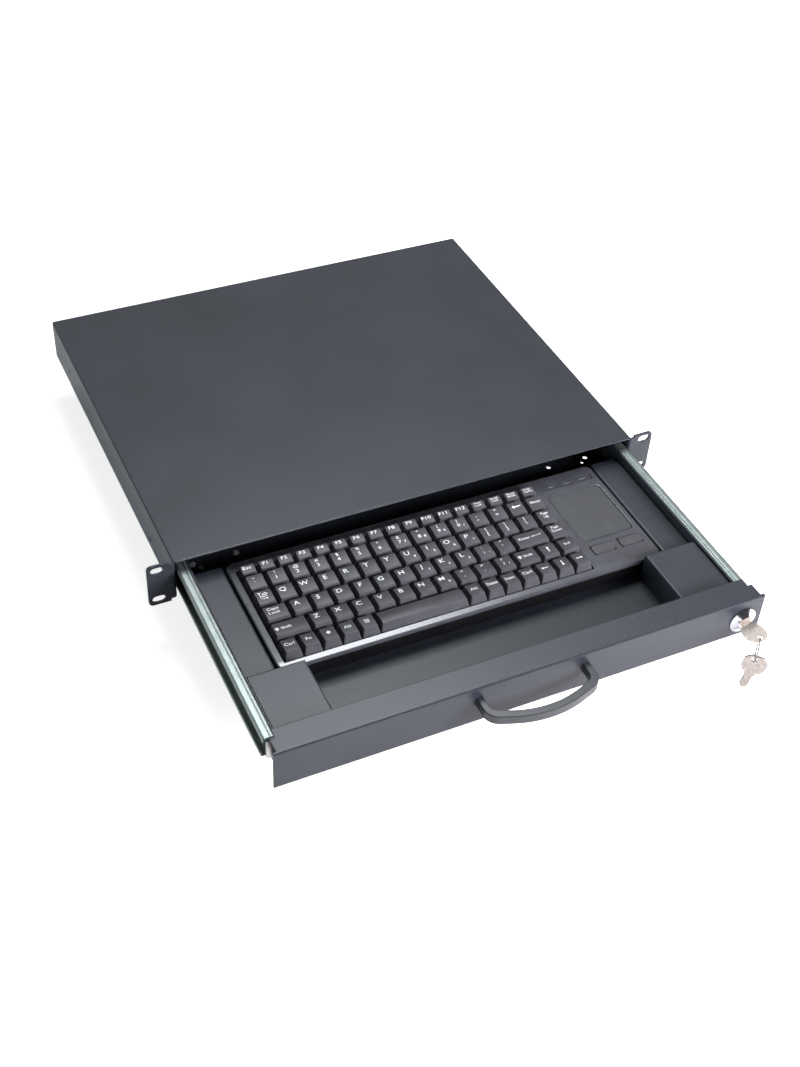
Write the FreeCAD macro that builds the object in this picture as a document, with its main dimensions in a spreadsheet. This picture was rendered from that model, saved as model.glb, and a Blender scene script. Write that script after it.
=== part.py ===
import FreeCAD, Part
import Sketcher
import os
import re

# Rack keyboard drawer, one rack unit high, drawn out as far as its slides go.
# Millimetres. X to the right seen from the front, Y to the back, Z up.
# The origin is the middle of the four ear slots, on the front face of the ears.

doc = FreeCAD.newDocument("rack_keyboard_drawer")
dims = doc.addObject("Spreadsheet::Sheet", "dims")

DRIVING = {
    # housing
    "rack_width": 482.6,
    "ear_height": 43.6,
    "slot_inset": 8.75,
    "slot_spacing_high": 31.75,
    "slot_height": 7.0,
    "slot_length": 11.5,
    "ear_corner": 4.0,
    "ear_neck": 3.4,
    "ear_width": 22.7,
    "case_depth": 366.0,
    "case_top": 21.0,
    "case_bottom": 19.1,
    "side_steel": 2.0,
    "cover_steel": 1.2,
    "cover_seam": 0.4,
    "cover_inset": 0.5,
    "cover_flange": 7.4,
    "bend": 1.6,
    "ear_bend": 3.0,
    "soft_edge": 0.6,
    "cable_opening_width": 150.0,
    "cable_opening_height": 22.0,
    "side_hole": 4.6,
    "side_hole_back": 313.0,
    "side_hole_back_height": 3.5,
    "side_hole_front": 65.5,
    "side_hole_front_height": 9.3,
    # drawer
    "pulled_out": 216.1,
    "tray_steel": 1.2,
    "panel_side_gap": 2.9,
    "panel_steel": 1.5,
    "panel_top": 18.5,
    "panel_bottom": 19.4,
    "strip_depth": 23.9,
    "strip_back_inset": 7.2,
    "strip_mid_inset": 3.2,
    "strip_back_length": 8.5,
    "strip_front_length": 2.6,
    "tray_floor": 18.7,
    "tray_wall_top": 10.8,
    "tray_back": 106.0,
    "tray_back_top": 4.0,
    "tray_front_top": 14.0,
    "upstand_inset": 45.7,
    "wall_setback": 22.5,
    "rail_setback": 22.6,
    "tray_cable_width": 60.0,
    "tray_cable_height": 12.0,
    "floor_hole": 4.6,
    "floor_hole_small": 3.2,
    "floor_hole_outer": 11.1,
    "floor_hole_inner": 50.3,
    "floor_hole_row": 31.3,
    "floor_hole_small_inset": 17.4,
    "floor_hole_small_row": 25.9,
    "plate_width": 48.3,
    "plate_side_gap": 0.9,
    "plate_top": 8.8,
    "plate_board_gap": 1.8,
    "plate_under_strip": 2.0,
    "deck_board_gap": 1.3,
    "deck_fold": 2.4,
    "deck_top": 1.3,
    "deck_back": 0.6,
    "sheet_gap": 0.3,
    # slides
    "rail_height": 27.0,
    "rail_depth": 9.4,
    "rail_steel": 1.2,
    "rail_length": 300.0,
    "rail_middle": 2.3,
    "rail_lip": 4.6,
    "rail_groove": 0.5,
    "rail_gap": 0.3,
    "rail_side_gap": 1.3,
    "rail_stop": 1.0,
    "ball": 3.2,
    "ball_play": 0.1,
    "balls_in_row": 3,
    "cage_end": 1.85,
    "cage_steel": 0.6,
    "cage_clear": 0.2,
    "end_tab_height": 20.0,
    "rail_end_cut": 6.0,
    "rail_screw": 4.0,
    "rail_screw_head": 6.4,
    "rail_screw_head_height": 1.6,
    "rail_screw_pitch": 210.0,
    "rail_screw_first": 25.0,
    # handle
    "handle_span": 94.0,
    "handle_peak": 38.4,
    "handle_leg": 21.0,
    "handle_thick": 6.0,
    "handle_tall": 9.0,
    "handle_height": 3.5,
    "handle_bow": 90.0,
    "handle_corner": 14.0,
    "handle_edge": 1.0,
    "handle_screw": 4.0,
    "handle_screw_head": 8.0,
    "handle_screw_head_height": 2.4,
    "handle_screw_depth": 10.0,
    # lock
    "lock_inset": 17.9,
    "lock_height": 3.0,
    "lock_head": 25.0,
    "lock_face": 13.4,
    "lock_rim": 1.0,
    "lock_reach": 4.4,
    "lock_barrel": 16.0,
    "lock_barrel_length": 17.0,
    "lock_nut_width": 20.0,
    "lock_nut_thick": 3.0,
    "plug": 11.6,
    "plug_gap": 0.3,
    "plug_bore": 3.0,
    "plug_bore_depth": 4.0,
    "cam_length": 17.5,
    "cam_width": 9.0,
    "cam_corner": 1.5,
    "cam_steel": 1.6,
    "cam_screw_head": 6.4,
    "cam_screw_head_height": 2.0,
    "strike_low": 12.2,
    "strike_high": 16.2,
    "strike_reach": 17.6,
    "strike_length": 12.0,
    "strike_steel": 1.2,
    "strike_clear": 1.5,
    "key_steel": 1.6,
    "bow_width": 20.0,
    "bow_length": 19.0,
    "bow_corner": 5.0,
    "bow_hole": 5.0,
    "bow_hole_back": 4.5,
    "bow_hole_aside": 2.0,
    "neck_length": 3.8,
    "neck_width": 9.0,
    "blade_width": 7.0,
    "blade_length": 15.6,
    "blade_gap": 0.1,
    "blade_point": 3.4,
    "cut_count": 3,
    "cut_pitch": 3.6,
    "cut_half": 0.9,
    "cut_depth": 1.1,
    "ring_radius": 10.2,
    "ring_wire": 1.0,
    "ring_turn": 40.0,
    "spare_tilt": 9.7,
    "cam_rest": 20.0,
    # keyboard
    "board_side_space": 28.7,
    "board_front_margin": 6.075,
    "board_back": 0.4,
    "board_top": 2.0,
    "board_cover": 4.2,
    "board_inset": 2.5,
    "board_corner": 7.0,
    "board_edge": 1.8,
    "slope_start": 1.0,
    "slope_drop": 1.2,
    "slope_round": 18.0,
    "board_wall": 2.2,
    "foot": 12.0,
    "foot_height": 1.5,
    "foot_inset": 16.0,
    "mat_floor": 9.6,
    "mat_thick": 1.2,
    "guide_top": 3.4,
    "guide_thick": 1.6,
    "guide_rim": 1.2,
    "well_gap": 0.8,
    "key_row_pitch": 19.05,
    "key_gap": 0.64,
    "keys_margin": 7.2,
    "pad_zone": 65.2,
    "keys_across": 15,
    "number_row": 34.6,
    "function_depth": 13.4,
    "function_count": 17,
    "number_count": 13,
    "upper_count": 13,
    "middle_count": 11,
    "lower_count": 10,
    "small_left_count": 5,
    "small_right_count": 4,
    "arrow_count": 3,
    "small_width": 16.65,
    "skirt": 1.6,
    "key_height": 7.9,
    "key_side_draft": 2.0,
    "key_front_draft": 2.9,
    "key_back_draft": 1.3,
    "caps_units": 1.25,
    "left_shift_units": 1.75,
    "tilt_function": 7,
    "tilt_number": 6,
    "tilt_upper": 4,
    "tilt_middle": 1,
    "tilt_lower": -3,
    "tilt_last": -5,
    "dish_radius": 32.0,
    "dish": 0.5,
    "stem": 4.0,
    "stem_length": 5.2,
    "stem_gap": 0.4,
    "pad_width": 50.0,
    "pad_length": 62.0,
    "pad_inset": 31.1,
    "pad_row": 57.8,
    "pad_sunk": 0.4,
    "pad_thick": 1.2,
    "pad_corner": 4.5,
    "window_width": 50.0,
    "window_length": 6.2,
    "window_row": 14.7,
    "window_thick": 0.8,
    "button_width": 20.8,
    "button_length": 9.8,
    "button_spacing": 27.0,
    "button_row": 101.6,
    "button_gap": 0.4,
    "button_proud": 0.8,
    "button_flange": 1.2,
    "button_corner": 2.4,
    "button_round": 0.6,
    "fit_gap": 0.2,
}

for line, (alias, number) in enumerate(DRIVING.items(), start=1):
    dims.set(f"A{line}", alias)
    dims.set(f"B{line}", str(number))
    dims.setAlias(f"B{line}", alias)
doc.recompute()


def cells(formula):
    # Names of driving dimensions become references to the sheet.
    return re.sub(r"[a-z_]+", lambda word: f"dims.{word[0]}" if word[0] in DRIVING else word[0], str(formula))


def size(formula):
    result = dims.evalExpression(cells(formula))
    return float(getattr(result, "Value", result))


def bind(thing, prop, formula):
    thing.setExpression(prop, cells(formula))


# Places that several pieces share, as formulas of the driving dimensions
front = "(-pulled_out)"
panel_back = f"({front} + panel_steel)"
case_half = "(rack_width / 2 - ear_width)"
inner_face = f"({case_half} - side_steel)"
panel_half = f"({case_half} - panel_side_gap)"
cover_under = "(case_top - cover_steel)"
tray_half = f"({inner_face} - rail_side_gap - rail_depth)"
tray_inside = f"({tray_half} - tray_steel)"
wall_front = f"({front} + wall_setback)"
floor_under = "(-tray_floor - tray_steel)"
strip_back = f"({front} + strip_depth)"
plate_front = f"({strip_back} - plate_under_strip)"
rail_front = f"({front} + rail_setback)"
rail_back = f"({rail_front} + rail_length)"
cabinet_front = f"({rail_front} + pulled_out + rail_steel + rail_stop)"
plate_inner = f"({tray_inside} - plate_side_gap - plate_width)"
board_half = f"({tray_inside} - board_side_space)"
deck_inner = f"({board_half} + deck_board_gap)"
keys_left = f"({board_half} - keys_margin)"
keys_wide = f"(2 * {board_half} - keys_margin - pad_zone)"
pad_side = f"({board_half} - pad_inset)"
function_row = "(-number_row + (key_row_pitch + function_depth) / 2)"
last_row = "(-number_row - 4 * key_row_pitch)"
well_left = f"(-{keys_left} - well_gap)"
well_right = f"({keys_wide} - {keys_left} + well_gap)"
well_back = f"({function_row} + function_depth / 2 + well_gap)"
well_front = f"({last_row} - key_row_pitch / 2 - well_gap)"
board_front = f"({well_front} - board_front_margin)"
plate_back = f"({board_front} - plate_board_gap)"
lock_side = f"({panel_half} - lock_inset)"
board_bottom = "(foot_height - tray_floor)"
cover_bottom = "(board_top - board_cover)"
skirt_bottom = "(board_top - skirt)"
barrel_end = "(panel_steel + lock_barrel_length)"
plug_end = f"({barrel_end} + plug_gap)"
strike_back = f"({front} + {plug_end} + pulled_out - strike_clear)"
flange_start = f"({strike_back} + strike_steel)"
handle_screw_side = "(handle_span / 2)"


def new_body(label):
    body = doc.addObject("PartDesign::Body", label)
    body.Label = label
    body.AllowCompound = True
    return body


def origin(body, role):
    return [piece for piece in body.Origin.OriginFeatures if piece.Role == role][0]


def new_sketch(body, name, plane, level):
    sketch = body.newObject("Sketcher::SketchObject", name)
    sketch.AttachmentSupport = (origin(body, plane), [""])
    sketch.MapMode = "FlatFace"
    bind(sketch, "AttachmentOffset.Base.z", level)
    return sketch


def fix_point(sketch, geometry, corner, place):
    for axis, formula in zip("XY", place):
        index = sketch.addConstraint(
            Sketcher.Constraint(f"Distance{axis}", -1, 1, geometry, corner, size(formula))
        )
        bind(sketch, f"Constraints[{index}]", formula)


def add_polygon(sketch, points):
    places = [FreeCAD.Vector(size(x), size(y), 0) for x, y in points]
    lines = []
    for start, end in zip(places, places[1:] + places[:1]):
        lines.append(sketch.addGeometry(Part.LineSegment(start, end), False))
    for line, following in zip(lines, lines[1:] + lines[:1]):
        sketch.addConstraint(Sketcher.Constraint("Coincident", line, 2, following, 1))
    for line, point in zip(lines, points):
        fix_point(sketch, line, 1, point)


def add_circle(sketch, point, diameter):
    middle = FreeCAD.Vector(size(point[0]), size(point[1]), 0)
    circle = sketch.addGeometry(
        Part.Circle(middle, FreeCAD.Vector(0, 0, 1), size(diameter) / 2), False
    )
    fix_point(sketch, circle, 3, point)
    index = sketch.addConstraint(Sketcher.Constraint("Diameter", circle, size(diameter)))
    bind(sketch, f"Constraints[{index}]", diameter)


def rectangle(left, low, right, high):
    return [(left, low), (right, low), (right, high), (left, high)]


def pad(body, name, plane, shapes, start, end):
    # A prism between two levels. The XZ plane looks along -Y, so its level is turned round.
    level = f"-({end})" if plane == "XZ_Plane" else start
    sketch = new_sketch(body, f"{name}_sketch", plane, level)
    draw(sketch, shapes)
    feature = body.newObject("PartDesign::Pad", name)
    feature.Profile = sketch
    bind(feature, "Length", f"({end}) - ({start})")
    return feature


def pocket(body, name, plane, shapes, start, end):
    level = f"-({start})" if plane == "XZ_Plane" else end
    sketch = new_sketch(body, f"{name}_sketch", plane, level)
    draw(sketch, shapes)
    feature = body.newObject("PartDesign::Pocket", name)
    feature.Profile = sketch
    bind(feature, "Length", f"({end}) - ({start})")
    return feature


def draw(sketch, shapes):
    for shape in shapes:
        if len(shape) == 2:
            add_circle(sketch, *shape)
        else:
            add_polygon(sketch, shape)


def revolve(body, name, points):
    # A turned piece about the body's own Y axis, points being radius and length.
    sketch = new_sketch(body, f"{name}_sketch", "XY_Plane", "0")
    add_polygon(sketch, points)
    feature = body.newObject("PartDesign::Revolution", name)
    feature.Profile = sketch
    feature.ReferenceAxis = (origin(body, "Y_Axis"), [""])
    feature.Angle = 360
    return feature


def pattern(body, name, originals, axis, count, length):
    feature = body.newObject("PartDesign::LinearPattern", name)
    feature.Originals = originals
    feature.Direction = (origin(body, axis), [""])
    bind(feature, "Length", length)
    bind(feature, "Occurrences", count)
    body.Tip = feature
    return feature


def matches(point, places):
    return any(all(c is None or abs(c - p) < 0.01 for c, p in zip(place, point)) for place in places)


def round_edges(body, name, radius, places, skipped=()):
    # Rounds the edges whose middle is at one of the places, None being any value.
    doc.recompute()
    base = body.Tip
    wanted = [[None if c is None else size(c) for c in place] for place in places]
    unwanted = [[None if c is None else size(c) for c in place] for place in skipped]
    found = []
    for number, edge in enumerate(base.Shape.Edges, start=1):
        middle = edge.valueAt((edge.FirstParameter + edge.LastParameter) / 2)
        if matches(middle, wanted) and not matches(middle, unwanted):
            found.append(f"Edge{number}")
    feature = body.newObject("PartDesign::Fillet", name)
    feature.Base = (base, found)
    bind(feature, "Radius", radius)
    return feature


def place(thing, x="0", y="0", z="0"):
    for axis, formula in zip("xyz", (x, y, z)):
        bind(thing, f"Placement.Base.{axis}", formula)


def mirrored(label, source):
    twin = doc.addObject("Part::Mirroring", label)
    twin.Label = label
    twin.Source = source
    twin.Normal = FreeCAD.Vector(1, 0, 0)
    return twin


pieces = []


def keep(*things):
    pieces.extend(things)


# Housing

def make_side_plate():
    body = new_body("right_side_plate")
    outer = case_half
    low = "(-case_bottom)"
    high = f"({cover_under} - cover_seam)"
    neck = f"({outer} + ear_neck)"
    tip = "(rack_width / 2)"
    half = "(ear_height / 2)"
    pad(body, "wall", "XY_Plane", [rectangle(inner_face, "0", outer, "case_depth")], low, high)
    ear = [(inner_face, low), (neck, low), (neck, f"-{half}"), (tip, f"-{half}"),
           (tip, half), (neck, half), (neck, high), (inner_face, high)]
    pad(body, "ear", "XZ_Plane", [ear], "0", "side_steel")
    straight = "((slot_length - slot_height) / 2)"
    middle = f"({tip} - slot_inset)"
    slots = []
    ends = []
    for sign in ("-", ""):
        level = f"({sign}slot_spacing_high / 2)"
        slots.append(rectangle(f"{middle} - {straight}", f"{level} - slot_height / 2",
                               f"{middle} + {straight}", f"{level} + slot_height / 2"))
        ends.append(((f"{middle} - {straight}", level), "slot_height"))
        ends.append(((f"{middle} + {straight}", level), "slot_height"))
    pocket(body, "slots", "XZ_Plane", slots, "0", "side_steel")
    pocket(body, "slot_ends", "XZ_Plane", ends, "0", "side_steel")
    holes = [(("side_hole_back", "-side_hole_back_height"), "side_hole"),
             (("side_hole_front", "-side_hole_front_height"), "side_hole")]
    pocket(body, "side_holes", "YZ_Plane", holes, inner_face, outer)
    round_edges(body, "ear_corners", "ear_corner", [(tip, None, half), (tip, None, f"-{half}")])
    round_edges(body, "ear_bend", "ear_bend", [(inner_face, "0", None)])
    return body


def make_cover():
    body = new_body("top_cover")
    side = f"({case_half} - cover_inset)"
    flange_low = f"({cover_under} - cover_flange)"
    pad(body, "sheet", "XY_Plane", [rectangle(f"-{side}", "0", side, "case_depth")],
        cover_under, "case_top")
    flanges = [rectangle(f"{inner_face} - cover_steel", flange_start, inner_face, "case_depth"),
               rectangle(f"-{inner_face}", flange_start, f"-{inner_face} + cover_steel", "case_depth")]
    pad(body, "flanges", "XY_Plane", flanges, flange_low, cover_under)
    back = rectangle(f"-{inner_face}", "-case_bottom", inner_face, cover_under)
    pad(body, "back", "XZ_Plane", [back], "case_depth - cover_steel", "case_depth")
    half = "(cable_opening_width / 2)"
    opening = rectangle(f"-{half}", "-case_bottom - bend", half, "cable_opening_height - case_bottom")
    pocket(body, "cable_opening", "XZ_Plane", [opening], "case_depth - cover_steel", "case_depth")
    top = "case_top"
    edges = [(side, None, top), (f"-{side}", None, top), ("0", "0", top), ("0", "case_depth", top)]
    round_edges(body, "soft_edges", "soft_edge", edges)
    return body


# Slides: the wide channel is fixed to the drawer, the narrow one to the housing

def rail_section(half_points):
    # Both halves of a section, from the distances above its middle line
    top = [(x, f"({rise}) - rail_middle") for x, rise in half_points]
    low = [(x, f"-({rise}) - rail_middle") for x, rise in reversed(half_points)]
    return top + low


web = tray_half
lip = f"({web} + rail_depth)"
crown = "(rail_height / 2)"
ball_side = f"({lip} - rail_steel - ball / 2)"
ball_rise = f"({crown} - rail_steel - ball_play - ball / 2)"
race = f"({ball_rise} - ball / 2 - ball_play)"
cage_web = f"({web} + 2 * rail_steel)"


def make_drawer_rail():
    body = new_body("right_drawer_rail")
    groove = f"({ball_side} - ball)"
    under = f"({crown} - rail_steel)"
    section = rail_section([
        (web, under), (f"{web} + rail_steel", crown), (f"{groove} - rail_steel / 2", crown),
        (groove, f"{crown} - rail_groove"), (f"{groove} + rail_steel / 2", crown),
        (f"{lip} - rail_steel", crown), (lip, under), (lip, f"{crown} - rail_lip"),
        (f"{lip} - rail_steel", f"{crown} - rail_lip"), (f"{lip} - rail_steel", under),
        (f"{groove} + rail_steel / 2", under), (groove, f"{under} - rail_groove"),
        (f"{groove} - rail_steel / 2", under), (f"{web} + rail_steel", under),
    ])
    pad(body, "channel", "XZ_Plane", [section], rail_front, rail_back)
    low_lip = rectangle(f"{web} + rail_steel * 2", f"-{crown} - rail_middle - rail_steel",
                        f"{lip} + rail_steel", f"rail_lip - {crown} - rail_middle + rail_steel")
    pocket(body, "low_lip_end", "XZ_Plane", [low_lip], rail_front, f"{rail_front} + rail_end_cut")
    corner = f"({lip} - rail_steel * 2)"
    tab = rectangle(f"{web} + rail_steel / 2", "-rail_middle - end_tab_height / 2",
                    corner, "end_tab_height / 2 - rail_middle")
    pad(body, "end_tab", "XZ_Plane", [tab], rail_front, f"{rail_front} + rail_steel")
    pocket(body, "screw_holes", "YZ_Plane", screw_circles("rail_screw"), web, f"{web} + rail_steel")
    ends = [(corner, None, f"{sign}end_tab_height / 2 - rail_middle") for sign in ("", "-")]
    round_edges(body, "tab_corners", "rail_steel * 2", ends)
    return body


def screw_circles(diameter):
    first = f"({rail_front} + rail_screw_first)"
    return [((first, "-rail_middle"), diameter), ((f"{first} + rail_screw_pitch", "-rail_middle"), diameter)]


def make_cabinet_rail():
    body = new_body("right_cabinet_rail")
    edge = f"({ball_side} + ball / 2)"
    section = rail_section([
        (inner_face, f"{race} - rail_steel * 1.5"),
        (f"{inner_face} - rail_steel / 2", f"{race} - rail_steel"),
        (edge, f"{race} - rail_steel"), (f"{edge} - rail_steel / 2", race), (f"{edge} - ball", race),
        (f"{edge} - ball", f"{race} - rail_steel"), (f"{edge} - rail_steel", f"{race} - rail_steel"),
        (f"{edge} - rail_steel / 2", f"{race} - rail_steel * 2"),
        (f"{inner_face} - rail_steel * 1.5", f"{race} - rail_steel * 2"),
        (f"{inner_face} - rail_steel", f"{race} - rail_steel * 2.5"),
    ])
    pad(body, "channel", "XZ_Plane", [section], cabinet_front, f"{cabinet_front} + rail_length")
    return body


cage_front = f"({cabinet_front} + cage_end)"
cage_back = f"({rail_back} - cage_end)"
ball_pitch = f"(({cage_back} - {cage_front}) / balls_in_row)"
first_ball = f"({cage_front} + {ball_pitch} / 2)"


def make_cage():
    body = new_body("right_ball_cage")
    outer = f"({lip} - rail_steel - rail_gap)"
    section = rail_section([
        (cage_web, f"{ball_rise} + cage_steel / 2"), (outer, f"{ball_rise} + cage_steel / 2"),
        (outer, f"{ball_rise} - cage_steel / 2"),
        (f"{cage_web} + cage_steel", f"{ball_rise} - cage_steel / 2"),
    ])
    pad(body, "strip", "XZ_Plane", [section], cage_front, cage_back)
    hole = [((ball_side, first_ball), "ball + 2 * cage_clear")]
    seat = pocket(body, "ball_seat", "XY_Plane", hole, "-rail_height", "rail_height")
    pattern(body, "ball_seats", [seat], "Y_Axis", "balls_in_row", f"{ball_pitch} * (balls_in_row - 1)")
    return body


def make_balls():
    body = new_body("right_balls")
    rows = []
    for name, sign in (("upper", ""), ("lower", "-")):
        sphere = body.newObject("PartDesign::AdditiveSphere", f"{name}_ball")
        bind(sphere, "Radius", "ball / 2")
        place(sphere, ball_side, first_ball, f"{sign}{ball_rise} - rail_middle")
        rows.append(sphere)
    pattern(body, "ball_rows", rows, "Y_Axis", "balls_in_row", f"{ball_pitch} * (balls_in_row - 1)")
    return body


# Drawer

def make_tray():
    body = new_body("tray")
    floor = rectangle(f"-{tray_half}", panel_back, tray_half, "tray_back")
    pad(body, "floor", "XY_Plane", [floor], floor_under, "-tray_floor")
    walls = [rectangle(tray_inside, wall_front, tray_half, "tray_back"),
             rectangle(f"-{tray_half}", wall_front, f"-{tray_inside}", "tray_back")]
    pad(body, "walls", "XY_Plane", walls, floor_under, "tray_wall_top")
    back = rectangle(f"-{tray_half}", floor_under, tray_half, "tray_back_top")
    pad(body, "back", "XZ_Plane", [back], "tray_back - tray_steel", "tray_back")
    upstand_half = f"({panel_half} - upstand_inset)"
    upstand = rectangle(f"-{upstand_half}", floor_under, upstand_half, "tray_front_top")
    pad(body, "upstand", "XZ_Plane", [upstand], panel_back, f"{panel_back} + tray_steel")
    half = "(tray_cable_width / 2)"
    notch = rectangle(f"-{half}", "tray_back_top - tray_cable_height", half, "tray_back_top + bend")
    pocket(body, "cable_notch", "XZ_Plane", [notch], "tray_back - tray_steel", "tray_back")
    holes = []
    for sign in ("", "-"):
        for inset, row, diameter in (
            ("floor_hole_outer", "floor_hole_row", "floor_hole"),
            ("floor_hole_inner", "floor_hole_row", "floor_hole"),
            ("floor_hole_small_inset", "floor_hole_small_row", "floor_hole_small"),
        ):
            holes.append(((f"{sign}({tray_inside} - {inset})", row), diameter))
    pocket(body, "floor_holes", "XY_Plane", holes, floor_under, "-tray_floor")
    pocket(body, "screw_holes", "YZ_Plane", screw_circles("rail_screw"), f"-{tray_half}", tray_half)
    pocket(body, "front_holes", "XZ_Plane", handle_circles(), panel_back, f"{panel_back} + tray_steel")
    folds = [(tray_half, None, floor_under), (f"-{tray_half}", None, floor_under)]
    round_edges(body, "folds", "soft_edge", folds)
    return body


def handle_circles():
    return [((f"{sign}{handle_screw_side}", "handle_height"), "handle_screw") for sign in ("", "-")]


def make_front_panel():
    body = new_body("front_panel")
    half = panel_half
    face = rectangle(f"-{half}", "-panel_bottom", half, "panel_top")
    pad(body, "face", "XZ_Plane", [face], front, panel_back)
    middle = f"({panel_half} - strip_mid_inset)"
    end = f"({panel_half} - strip_back_inset)"
    first = f"({front} + strip_front_length)"
    second = f"({strip_back} - strip_back_length)"
    right = [(half, front), (half, first), (middle, first), (middle, second),
             (end, second), (end, strip_back)]
    left = [(f"-{x}", y) for x, y in reversed(right)]
    pad(body, "strip", "XY_Plane", [right + left], "panel_top - panel_steel", "panel_top")
    lock_hole = [((lock_side, "-lock_height"), "lock_barrel + fit_gap")]
    pocket(body, "front_holes", "XZ_Plane", handle_circles() + lock_hole, front, panel_back)
    round_edges(body, "fold", "bend", [("0", front, "panel_top")])
    return body


def make_palm_plate():
    body = new_body("right_palm_plate")
    outer = f"({tray_inside} - plate_side_gap)"
    back = plate_back
    top = rectangle(plate_inner, plate_front, outer, back)
    pad(body, "top", "XY_Plane", [top], "plate_top - tray_steel", "plate_top")
    inside = rectangle(plate_inner, plate_front, f"{plate_inner} + tray_steel", back)
    pad(body, "inner_wall", "XY_Plane", [inside], "-tray_floor", "plate_top")
    rear = rectangle(plate_inner, f"{back} - tray_steel", outer, back)
    pad(body, "rear_wall", "XY_Plane", [rear], "-tray_floor", "plate_top")
    edges = [(plate_inner, None, "plate_top"), (None, back, "plate_top")]
    round_edges(body, "folds", "bend", edges)
    return body


def make_deck():
    body = new_body("right_deck")
    outer = f"({tray_inside} - sheet_gap)"
    begin = f"({plate_back} + sheet_gap)"
    back = "(-deck_back)"
    pad(body, "top", "XY_Plane", [rectangle(deck_inner, begin, outer, back)],
        "deck_top - tray_steel", "deck_top")
    pad(body, "inner_wall", "XY_Plane", [rectangle(deck_inner, begin, f"{deck_inner} + tray_steel", back)],
        "-tray_floor", "deck_top")
    pad(body, "rear_wall", "XY_Plane", [rectangle(deck_inner, f"{back} - tray_steel", outer, back)],
        "-tray_floor", "deck_top")
    round_edges(body, "fold", "deck_fold", [(deck_inner, None, "deck_top")])
    hollow = (f"{deck_inner} + tray_steel", None, "deck_top - tray_steel")
    round_edges(body, "fold_inside", "deck_fold - tray_steel", [hollow])
    return body


def make_rail_screws():
    body = new_body("rail_screws")
    first = f"({rail_front} + rail_screw_first)"
    rows = []
    for name, sign in (("right", ""), ("left", "-")):
        head = pad(body, f"{name}_head", "YZ_Plane", [((first, "-rail_middle"), "rail_screw_head")],
                   *span_of(sign, f"{tray_inside} - rail_screw_head_height", tray_inside))
        shank = pad(body, f"{name}_shank", "YZ_Plane", [((first, "-rail_middle"), "rail_screw")],
                    *span_of(sign, f"{tray_inside} - rail_screw_head_height", f"{web} + rail_steel"))
        rows.extend([head, shank])
    pattern(body, "all_screws", rows, "Y_Axis", "2", "rail_screw_pitch")
    return body


def span_of(sign, near, far):
    # The same span on the right, or on the left with its ends swapped
    return (near, far) if sign == "" else (f"-({far})", f"-({near})")


# Handle

def make_handle():
    body = new_body("handle")
    out = "((handle_span + handle_thick) / 2)"
    into = f"({out} - handle_thick)"
    knee = f"({front} - handle_leg)"
    peak = f"({front} - handle_peak)"
    inner_peak = f"({peak} + handle_thick)"
    inner_knee = f"({knee} + handle_thick)"
    outline = [(f"-{out}", front), (f"-{out}", knee), ("0", peak), (out, knee), (out, front),
               (into, front), (into, inner_knee), ("0", inner_peak),
               (f"-{into}", inner_knee), (f"-{into}", front)]
    low = "(handle_height - handle_tall / 2)"
    high = "(handle_height + handle_tall / 2)"
    pad(body, "bar", "XY_Plane", [outline], low, high)
    sides = [(out, knee, None), (f"-{out}", knee, None)]
    round_edges(body, "outer_corners", "handle_corner", sides)
    round_edges(body, "inner_corners", "handle_corner - handle_thick",
                [(into, inner_knee, None), (f"-{into}", inner_knee, None)])
    round_edges(body, "outer_bow", "handle_bow", [("0", peak, None)])
    round_edges(body, "inner_bow", "handle_bow - handle_thick", [("0", inner_peak, None)])
    rims = [(None, None, low), (None, None, high)]
    round_edges(body, "soft_rims", "handle_edge", rims, skipped=[(None, front, None)])
    pocket(body, "screw_holes", "XZ_Plane", handle_circles(), f"{front} - handle_screw_depth", front)
    return body


def make_handle_screws():
    body = new_body("handle_screws")
    seat = f"({panel_back} + tray_steel)"
    heads = [((f"{sign}{handle_screw_side}", "handle_height"), "handle_screw_head") for sign in ("", "-")]
    pad(body, "heads", "XZ_Plane", heads, seat, f"{seat} + handle_screw_head_height")
    pad(body, "shanks", "XZ_Plane", handle_circles(), f"{front} - handle_screw_depth", seat)
    return body


# Lock, in its own frame: the axis of the plug along Y, the face of the panel at 0

def at_lock(body):
    place(body, lock_side, front, "-lock_height")
    return body


def make_lock_body():
    body = at_lock(new_body("lock_body"))
    bore = "plug / 2 + plug_gap"
    revolve(body, "turned", [
        (bore, "-lock_reach"), ("lock_face / 2", "-lock_reach"), ("lock_head / 2", "-lock_rim"),
        ("lock_head / 2", "0"), ("lock_barrel / 2", "0"), ("lock_barrel / 2", barrel_end), (bore, barrel_end),
    ])
    return body


def make_lock_nut():
    body = at_lock(new_body("lock_nut"))
    corner = "(lock_nut_width / sqrt(3))"
    flat = "(lock_nut_width / 2)"
    hexagon = [(corner, "0"), (f"{corner} / 2", flat), (f"-{corner} / 2", flat),
               (f"-{corner}", "0"), (f"-{corner} / 2", f"-{flat}"), (f"{corner} / 2", f"-{flat}")]
    back = "(panel_steel + lock_nut_thick)"
    pad(body, "hexagon", "XZ_Plane", [hexagon], "panel_steel", back)
    pocket(body, "thread", "XZ_Plane", [(("0", "0"), "lock_barrel")], "panel_steel", back)
    return body


def make_lock_plug():
    body = at_lock(new_body("lock_plug"))
    revolve(body, "turned", [
        ("0", "-lock_reach"), ("plug / 2", "-lock_reach"), ("plug / 2", plug_end),
        ("plug_bore / 2", plug_end), ("plug_bore / 2", f"{plug_end} - plug_bore_depth"),
        ("0", f"{plug_end} - plug_bore_depth"),
    ])
    wide = "(blade_width / 2 + blade_gap)"
    tall = "(key_steel / 2 + blade_gap)"
    pocket(body, "keyway", "XZ_Plane", [rectangle(f"-{wide}", f"-{tall}", wide, tall)],
           "-lock_reach", "blade_length - lock_reach + blade_gap")
    return body


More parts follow.
